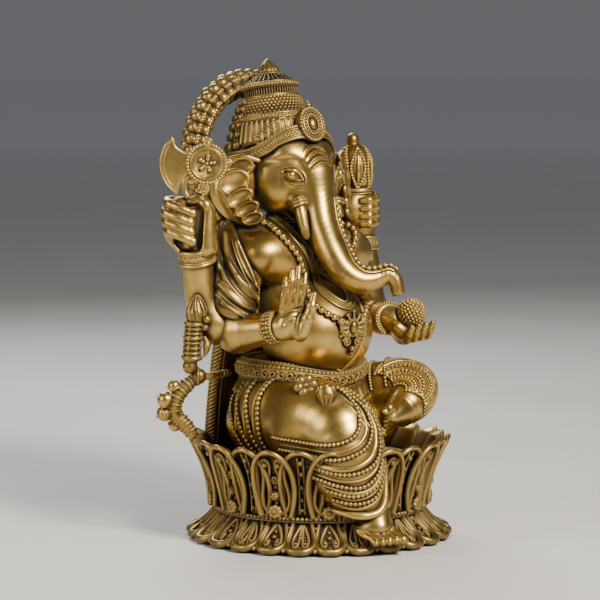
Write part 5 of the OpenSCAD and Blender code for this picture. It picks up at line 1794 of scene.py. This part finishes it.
def make_necklaces():
    """Collar band, bead necklace and the pendant at its foot."""
    collar = Parts()
    for shift, size in ((-0.2, 0.75), (0.85, 0.42), (1.9, 0.42), (2.9, 0.75)):
        for line in necklace(BAND_ROUTE, shift, 0.6):
            collar.tube(evenly(line, gap=1.0), size, 6)
    inner, outer = necklace(BAND_ROUTE, 0.9, 0.7)[0], necklace(BAND_ROUTE, 1.9, 0.7)[0]
    inner, outer = evenly(inner, count=150), evenly(outer, count=150)
    for i in range(1, 148):
        collar.tube(np.array([inner[i], outer[min(i + 1, 149)]]), 0.3, 4)
    for line in necklace([(u + 5.6, z + 4.8) for u, z in BAND_ROUTE], 0, 0.9):
        bead_string(collar, line, 1.1)
    collar.object("collar_piece", ["collar"])
    beads = Parts()
    for line in necklace(BEAD_ROUTE, 0, 1.5, meet=False):
        spots = evenly(line, gap=4.1)
        beads.balls(spots, 1.95, 3)
        beads.balls((spots[:-1] + spots[1:]) / 2, 0.8, 1)
    beads.object("necklace_beads_piece", ["necklace_beads"])
    parts = Parts()
    at = disc_frame(NECK_LOW + vec(-1, -4.6, -11), (-0.25, -0.93, -0.12), UP)
    v, f = SPHERES[3]
    parts.add(at(v * [2.3, 3.8, 2.0] + [0, 0, 0.6]), tris=f)
    disc_hoop(parts, at, 2.9, 0.5, 0.4, 1.45)
    disc_ring(parts, at, 3.9, 18, 0.6, 0.2, stretch=1.3)
    for k in range(11):
        a = math.radians(-150 + 30 * k)
        long = 8.6 if k % 2 else 7.4
        ray = [(3.4 * math.sin(a), 4.4 * math.cos(a), 0.1), (5.4 * math.sin(a), 6.0 * math.cos(a), 0.5),
               (long * math.sin(a), (long + 1) * math.cos(a), 0)]
        parts.tube(at(smooth_path(ray, 10)), np.linspace(1.1, 0.5, 10), 6)
        parts.balls(at(ray[-1]), 0.95)
    for side in (-1, 1):
        for k in range(3):
            x, y = side * (6.8 - 1.6 * k), 2.5 - 5.4 * k
            turn = np.linspace(0.3, 3.2 * math.pi, 26)
            radius = np.linspace(2.7, 0.5, 26)
            curl = xyz(x + side * radius * np.cos(turn), y + radius * np.sin(turn), 0.3)
            parts.tube(at(curl), 0.6, 6)
            parts.balls(at([[x, y, 0.4]]), 0.9)
    parts.balls(at([[0, -12.2, 0.2], [0, -14.6, -0.3], [0, -16.4, -0.6]]), vec(1.7, 1.3, 0.9))
    a = full_turn(40)[:, None]
    r = np.array([[8.4, 8.0, 4, 0.1]])
    proud = np.array([[-3.4, -1.0, -0.7, -0.6]])
    plate = xyz(-r * np.sin(a) * 0.8, r * 1.2 * np.cos(a) - 1, proud)
    parts.sheet(at(plate)[::-1], closed_u=True)
    parts.object("pendant_piece", ["pendant"])


def make_thread():
    """Double thread from the left shoulder across the belly."""
    route = smooth_path([(24, 4, 172), (20, -12, 158), (17, -24, 142), (13.5, -31, 126), (9.5, -33, 112),
                         (2, -28, 98), (-6, -20, 92)], 120)
    out = unit((route - vec(0, 10, 0)) * [1, 1, 0])
    parts = Parts()
    for shift, size in ((0, 0.75), (1.7, 0.5)):
        q = land(torso, route + out * 12 + vec(shift, 0, 0), -out, 0.35, reach=34)[0]
        parts.tube(evenly(q, gap=1.2), size, 6)
    return parts


make_belt()
make_flowers()
make_necklaces()
solid("torso_piece", torso, ["torso"], make_thread())


def make_trunk_beads():
    """String of beads down the trunk, with two cords on each side of it."""
    parts = Parts()
    path = smooth_path(np.column_stack([TRUNK, TRUNK_R]), 200)
    s = np.linspace(0, 1, 200)
    keep = (s > 0.11) & (s < 0.83)
    curl = clamp((s - 0.30) / 0.28)[:, None]
    out = unit(vec(0.74, -0.60, 0.05) * (1 - curl) + vec(0.05, -0.45, 0.9) * curl)
    starts = path[:, :3] + out * (path[:, 3:] + 10)
    q, normal = land(head, starts[keep], -out[keep], 1.0, reach=26)
    run = np.linspace(0, 1, keep.sum())
    spots = evenly(np.column_stack([q, np.interp(run, [0, 0.12, 0.6, 1], [1.3, 2.05, 1.8, 1.15])]),
                   gap=3.35)
    parts.balls(spots[:, :3], spots[:, 3])
    side = unit(np.cross(np.gradient(q, axis=0), normal))
    for shift, size in ((1.9, 0.42), (2.9, 0.42)):
        for sign in (-1, 1):
            line = q - normal * 1.0 + side * shift * sign
            parts.tube(evenly(line, gap=1.2), size, 5)
    hatch = evenly(np.column_stack([q - normal * 0.9, side]), gap=1.7)
    for row in hatch:
        for sign in (-1, 1):
            parts.tube(np.array([row[:3] + sign * 1.8 * row[3:], row[:3] + sign * 3.0 * row[3:]]), 0.3, 4)
    parts.object("trunk_beads_piece", ["trunk_beads"])


make_trunk_beads()
solid("hips_piece", hips, ["hips"])


# ---- bangles -----------------------------------------------------------------------------------
def ring_frame(axis):
    axis = unit(axis)
    a = unit(np.cross(axis, FACING + 0.01 * UP))
    return a, np.cross(axis, a), axis


def loop_round(centre, axis, radius, count, phase=0.0):
    a, b, _ = ring_frame(axis)
    turn = (np.arange(count) + phase) * 2 * math.pi / count
    return np.asarray(centre, float) + radius * (np.cos(turn)[:, None] * a + np.sin(turn)[:, None] * b)


def bangle(name, centre, axis, radius, rows):
    """A bangle from rows of (offset along the arm, kind, size)."""
    parts, axis = Parts(), unit(axis)
    low, high = min(r[0] for r in rows), max(r[0] for r in rows)
    a, b, _ = ring_frame(axis)
    turn = full_turn(60)[:, None]
    prof = np.array([[radius - 2.6, low], [radius - 0.4, low - 0.2], [radius, (low + high) / 2],
                     [radius - 0.4, high + 0.2], [radius - 2.6, high]])
    ring = np.cos(turn)[..., None] * a + np.sin(turn)[..., None] * b
    grid = np.asarray(centre, float) + ring * prof[None, :, :1] + axis * prof[None, :, 1:]
    parts.sheet(grid, closed_u=True)
    for offset, kind, size in rows:
        at = np.asarray(centre, float) + axis * offset
        if kind == "ridge":
            parts.tube(loop_round(at, axis, radius, 64), size, 8, closed=True)
        elif kind == "beads":
            parts.balls(loop_round(at, axis, radius + 0.1, int(2 * math.pi * radius / (size * 2.15))), size)
        else:
            count = int(2 * math.pi * radius / (size * 3.2))
            for k in range(count):
                spot = loop_round(at, axis, radius + 0.2, count)[k]
                nxt = loop_round(at, axis, radius + 0.2, count, 0.7)[k]
                parts.tube(np.array([spot - axis * size, (spot + nxt) / 2 + axis * size,
                                     nxt - axis * size]), size * 0.34, 5)
    parts.object(name + "_piece", [name])


def make_bangles():
    forearm = {k: np.array(ARMS[k][4], float) - np.array(ARMS[k][3], float) for k in ARMS}
    bangle("upper_right_bangle", (-72.3, 20.8, 164.2), forearm["upper_right"], 10.0,
           [(-4.0, "ridge", 1.0), (-2.6, "ridge", 0.5), (-0.2, "zigzag", 1.25), (2.2, "ridge", 0.5),
            (3.6, "ridge", 1.0)])
    bangle("lower_right_bangle", (-45.9, -15.2, 124.1), forearm["lower_right"], 8.4,
           [(-2.8, "beads", 0.8), (-1.0, "beads", 1.1), (1.2, "beads", 1.1), (3.0, "beads", 0.8)])
    bangle("upper_left_bangle", (61, 31.8, 163.2), forearm["upper_left"], 8.7,
           [(-3.6, "ridge", 0.9), (-2.2, "ridge", 0.45), (0, "zigzag", 1.0), (2.0, "ridge", 0.45),
            (3.4, "ridge", 0.9)])
    bangle("lower_left_bangle", (51.2, -0.6, 121.9), forearm["lower_left"], 9.2,
           [(-3.8, "ridge", 0.7), (-1.9, "ridge", 0.7), (0.0, "ridge", 0.7), (1.9, "ridge", 0.7),
            (3.6, "beads", 0.8)])


# ---- cloth and hair behind the arm ---------------------------------------------------------------
def make_shawl():
    """Folds hanging from the right shoulder to the elbow."""
    clay = Clay((-72, -8, 112), (-20, 46, 186), 0.6)
    clay.limb([(-38, 26, 166), (-46.5, 19, 150), (-51, 15, 134), (-50, 13, 122)], (15.5, 15, 14.5, 12), 0)
    clay.slice(-46.5 * SIDEWAYS + 174 * UP, 0.9015 * SIDEWAYS + 0.4327 * UP, 0.8)
    clay.slice(-40 * SIDEWAYS + 124.5 * UP, -0.35 * SIDEWAYS - UP, 1.5)
    folds = [([(-47.5, 170), (-45.8, 163), (-40.5, 152.5), (-35.2, 143)], 1.5),
             ([(-50.5, 158), (-45, 149.7), (-39, 144), (-34.8, 137)], 1.9),
             ([(-57, 160), (-53, 150), (-46.5, 141.5), (-37.5, 133.6)], 1.7),
             ([(-56, 147), (-46, 137.6), (-35.5, 130.5)], 1.5),
             ([(-54.5, 137), (-45, 131.4), (-36, 127)], 1.4), ([(-58.6, 170), (-57, 158), (-58, 146)], 1.5),
             ([(-54, 174), (-52.6, 163), (-47, 153)], 1.4)]
    for route, size in folds:
        q = view_landing(clay, route, 0.2, 30)
        clay.limb(q[::4], np.linspace(size, size * 0.8, len(q[::4])), 1.6, bars=12)
    for route, size in folds[:5]:
        q = view_landing(clay, [(u + 2.9, z + 1.2) for u, z in route], 0.1, 30)
        clay.limb(q[::4], size * 0.5, 1.2, carve=True, bars=12)
    extra = Parts()
    hem = view_landing(clay, [(-46.8, 172), (-42.8, 163), (-37.8, 152), (-34.8, 143), (-34.8, 134),
                              (-36.5, 127.5)], 0.1, 60)
    extra.tube(evenly(hem, gap=1.0), 0.9, 8)
    line = view_landing(clay, [(-49.4, 171), (-46.6, 162.4), (-42.0, 152), (-37.6, 142.6)], 0.1, 60)
    extra.tube(evenly(line, gap=1.0), 0.5, 6)
    for across, rise in ((0.5, -1.2), (-2.2, -1.6)):
        route = [(u + across, z + rise) for u, z in ((-56, 143), (-46.5, 135), (-36, 128.6))]
        drift = view_landing(clay, route, 0.1, 40)
        extra.tube(evenly(drift, gap=1.0), 0.45, 6)
    solid("shawl_piece", clay, ["shawl"], extra)


def strand(parts, points, radius, waves, size, phase):
    """A wavy lock of hair made of three twisted cords."""
    path = smooth_path(points, 70)
    _, side, top = frames_along(path)
    run = np.linspace(0, 1, 70)
    for k in range(3):
        a = run * waves * 2 * math.pi + phase + k * 2 * math.pi / 3
        body = radius * np.sin(clamp(run * 1.15 + 0.12) * math.pi)**0.6
        cord = path + (np.cos(a) * body)[:, None] * side + (np.sin(a) * body)[:, None] * top
        parts.tube(cord, size * np.interp(run, [0, 0.2, 0.8, 1], [0.7, 1, 1, 0.3]), 7)


def make_hair():
    """Twisted locks that hang behind the arm."""
    parts = Parts()
    low, high = (np.array(corner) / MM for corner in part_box("hair_locks"))
    mid = (low + high) / 2
    for k, (dx, dy) in enumerate(((-7, -6), (-3, -3), (1, -1), (5, 2), (-6, 2), (-1, 5), (4, 7), (8, 9))):
        top = vec(mid[0] + 9 + dx * 0.5, mid[1] + dy * 0.8 + 2, high[2] - 3)
        path = [top, vec(mid[0] + 2 + dx, mid[1] + dy, mid[2] + 9),
                vec(mid[0] - 2 + dx, mid[1] + dy * 0.8, mid[2] - 4),
                vec(mid[0] - 1 + dx * 0.9, mid[1] + dy * 0.7, low[2] + 3 + (k % 3) * 4)]
        strand(parts, path, 1.5, 3.2 + 0.4 * (k % 2), 1.6, k)
    parts.tube(smooth_path([(mid[0] + 9, mid[1] + 4, high[2] - 5), (mid[0] + 2, mid[1] + 3, mid[2] + 6),
                            (mid[0], mid[1] + 2, low[2] + 12)], 30),
               np.linspace(6.5, 5, 30), 12)
    parts.object("hair_locks_piece", ["hair_locks"], "dark_brass")


def make_mantle():
    """Sheet of long hair and cloth down the back, with a plaited edge."""
    parts = Parts()
    h = np.linspace(0, 1, 120)[None, :]
    q = np.linspace(-1, 1, 121)[:, None]

    def back(q, h, lift):
        x = q * (34.2 - 8.4 * h)
        y = 58 - 14 * h * h + 3.6 * (1 - q * q) + 3.2 + lift
        return xyz(x, y, SEAT_Z - 0.5 + 120.5 * h)

    coarse = 0.75 * np.cos(q * 34 + 1.6 * np.sin(h * 9 + q * 3))
    groove = coarse + 0.35 * np.cos(q * 71 + 2.2 * np.sin(h * 12))
    fade = clamp((0.86 - np.abs(q)) * 8)
    parts.sheet(back(q, h, groove * fade)[::-1])
    parts.sheet(back(q, h, -6.4 + 0.6 * np.cos(q * 26) * fade))
    run = np.linspace(0, 1, 150)
    for side in (-1, 1):
        edge = back(side, run, -3.0)
        parts.tube(edge, 3.3, 12)
        for proud in (0.6, -6.2):
            parts.tube(back(side * 0.92, run, proud), 0.8, 6)
        for k in range(54):
            t = (k + 0.5) / 54
            for tilt in (-1, 1):
                a = back(side, t, -3.0)
                plait = [a + vec(3.45 * side * math.cos(b), 3.45 * tilt * math.sin(b), 1.9 * b - 1.2)
                         for b in np.linspace(0.1, 1.45, 5)]
                parts.tube(plait, 0.5, 5)
    top = back(np.linspace(-1, 1, 60), 1, -3.0)
    parts.tube(top, 3.2, 12)
    parts.object("back_mantle_piece", ["back_mantle"])


# ---- ornament hanging at the right ---------------------------------------------------------------
def make_side_garland():
    """Bud, beaded column, knot, ringed loop and bells."""
    parts = Parts()
    bud = smooth_path([(-75.2, 17, 141.5), (-75.2, 17.2, 136), (-75.4, 17.6, 130), (-75.8, 18, 125.5)], 24)
    parts.tube(bud, taper(24, [0, 0.2, 0.55, 0.85, 1], [0.5, 2.8, 5.4, 5.0, 3.6]), 16)
    for k in range(7):
        a = k * 2 * math.pi / 7
        run = np.linspace(0, 1, 18)
        body = np.interp(run, [0, 0.2, 0.55, 0.85, 1], [0.6, 3.0, 5.6, 5.2, 3.8])
        twist = a + 0.7 * run
        line = smooth_path(bud[::4], 18) + xyz(np.cos(twist) * body, np.sin(twist) * body, 0)
        parts.tube(line, np.linspace(0.4, 0.9, 18), 6)
    parts.balls(vec(-75.8, 18, 128) + 6.4 * SIDEWAYS + 2.6 * FACING, 2.5, 3)
    parts.balls(vec(-75.8, 18, 123.4) + 5.6 * SIDEWAYS + 2.6 * FACING, 1.9)
    column = smooth_path([(-76, 18.4, 125.5), (-76.6, 19.2, 116), (-76.6, 20.2, 105.5)], 30)
    parts.tube(column, 4.3, 16)
    for k, size in ((0, 1.3), (4, 0.7), (8, 0.7), (12, 1.1), (16, 0.7), (20, 0.7), (24, 0.9), (28, 1.4)):
        parts.tube(loop_round(column[k], (0, 0.1, -1), 4.7, 36), size, 8, closed=True)
    for around in (-0.5, 0.5, 1.5, 2.6, 3.7, 4.8):
        out = math.cos(around) * FACING + math.sin(around) * SIDEWAYS
        parts.balls(evenly(column + out * 4.5, gap=1.9), 0.85, 1)
    leaf = vec(-76.4, 19, 113) + 6.4 * SIDEWAYS + 1.6 * FACING
    parts.tube(leaf + smooth_path([(0, 0, 5), (1.4, 0, 1), (1.0, 0, -3), (-0.6, 0, -6)], 16),
               taper(16, [0, 0.4, 1], [0.8, 2.5, 0.6]), 8)
    parts.balls(vec(-77.6, 20.4, 101.2), 4.3, 3)
    parts.tube(loop_round((-77.2, 20.4, 104.6), (0, 0.1, -1), 3.4, 30), 0.9, 8, closed=True)
    knot = vec(-72.6, 19.2, 95.4)
    parts.balls(knot, 4.5, 3)
    parts.tube(loop_round(knot, SIDEWAYS, 4.7, 36), 0.7, 8, closed=True)
    strut = smooth_path([(-68, 22.5, 94.5), (-52, 32, 93), (-30, 46, 92)], 60)
    parts.tube(strut, 1.7, 10)
    fine = np.linspace(0, 59, 240)
    path = np.stack([np.interp(fine, np.arange(60), strut[:, k]) for k in range(3)], 1)
    _, side, top = frames_along(path)
    a = np.linspace(0, 18 * math.pi, 240)
    parts.tube(path + 1.7 * (np.cos(a)[:, None] * side + np.sin(a)[:, None] * top), 0.6, 5)
    curve = smooth_path([(-74, 20.5, 94), (-79.5, 25, 88), (-82, 29, 80.5), (-80, 31.5, 73),
                         (-75, 29.5, 67.5), (-70, 27.5, 61)], 60)
    body = taper(60, [0, 0.15, 0.5, 0.85, 1], [2.8, 3.8, 4.1, 3.8, 3.2])
    parts.tube(curve, body, 16)
    tangent = frames_along(curve)[0]
    for k in range(2, 59, 3):
        ring = loop_round(curve[k], tangent[k] + 0.55 * FACING, body[k] + 0.15, 28)
        parts.tube(ring, 0.42 if k % 2 else 0.75, 6, closed=True)
    parts.object("side_garland_piece", ["side_garland"])
    bells = Parts()
    for (x, y, z), size in (((-84, 27, 90), 3.5), ((-87, 31, 82), 4.7), ((-85.5, 34, 74), 4.5),
                            ((-78, 34, 67), 3.9)):
        c = vec(x, y, z)
        to = unit(vec(-79, 29, 78) - c)
        bells.balls(c, size, 3)
        bells.tube(loop_round(c, to, size * 0.98, 30), 0.55, 6, closed=True)
        bells.tube(np.array([c + to * size * 0.8, c + to * (size + 2.4)]), 1.5, 8)
        bells.tube(loop_round(c + to * (size + 0.4), to, 1.7, 20), 0.6, 6, closed=True)
        bells.balls(c - to * size, 0.9, 1)
    bells.object("garland_bells_piece", ["garland_bells"])


make_bangles()
make_shawl()
make_hair()
make_mantle()
make_side_garland()


# ---- finish on the design's own solids -----------------------------------------------------------
for node, slot in (("felt_pad", "felt"), ("base_plate", "dark_brass"), ("tie_bolt", "steel"),
                   ("bolt_washer", "steel"), ("threaded_insert", "dark_brass"), ("figure_pins", "steel")):
    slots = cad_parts[node].material_slots
    for k in range(len(slots)):
        slots[k].material = MATERIALS[slot]
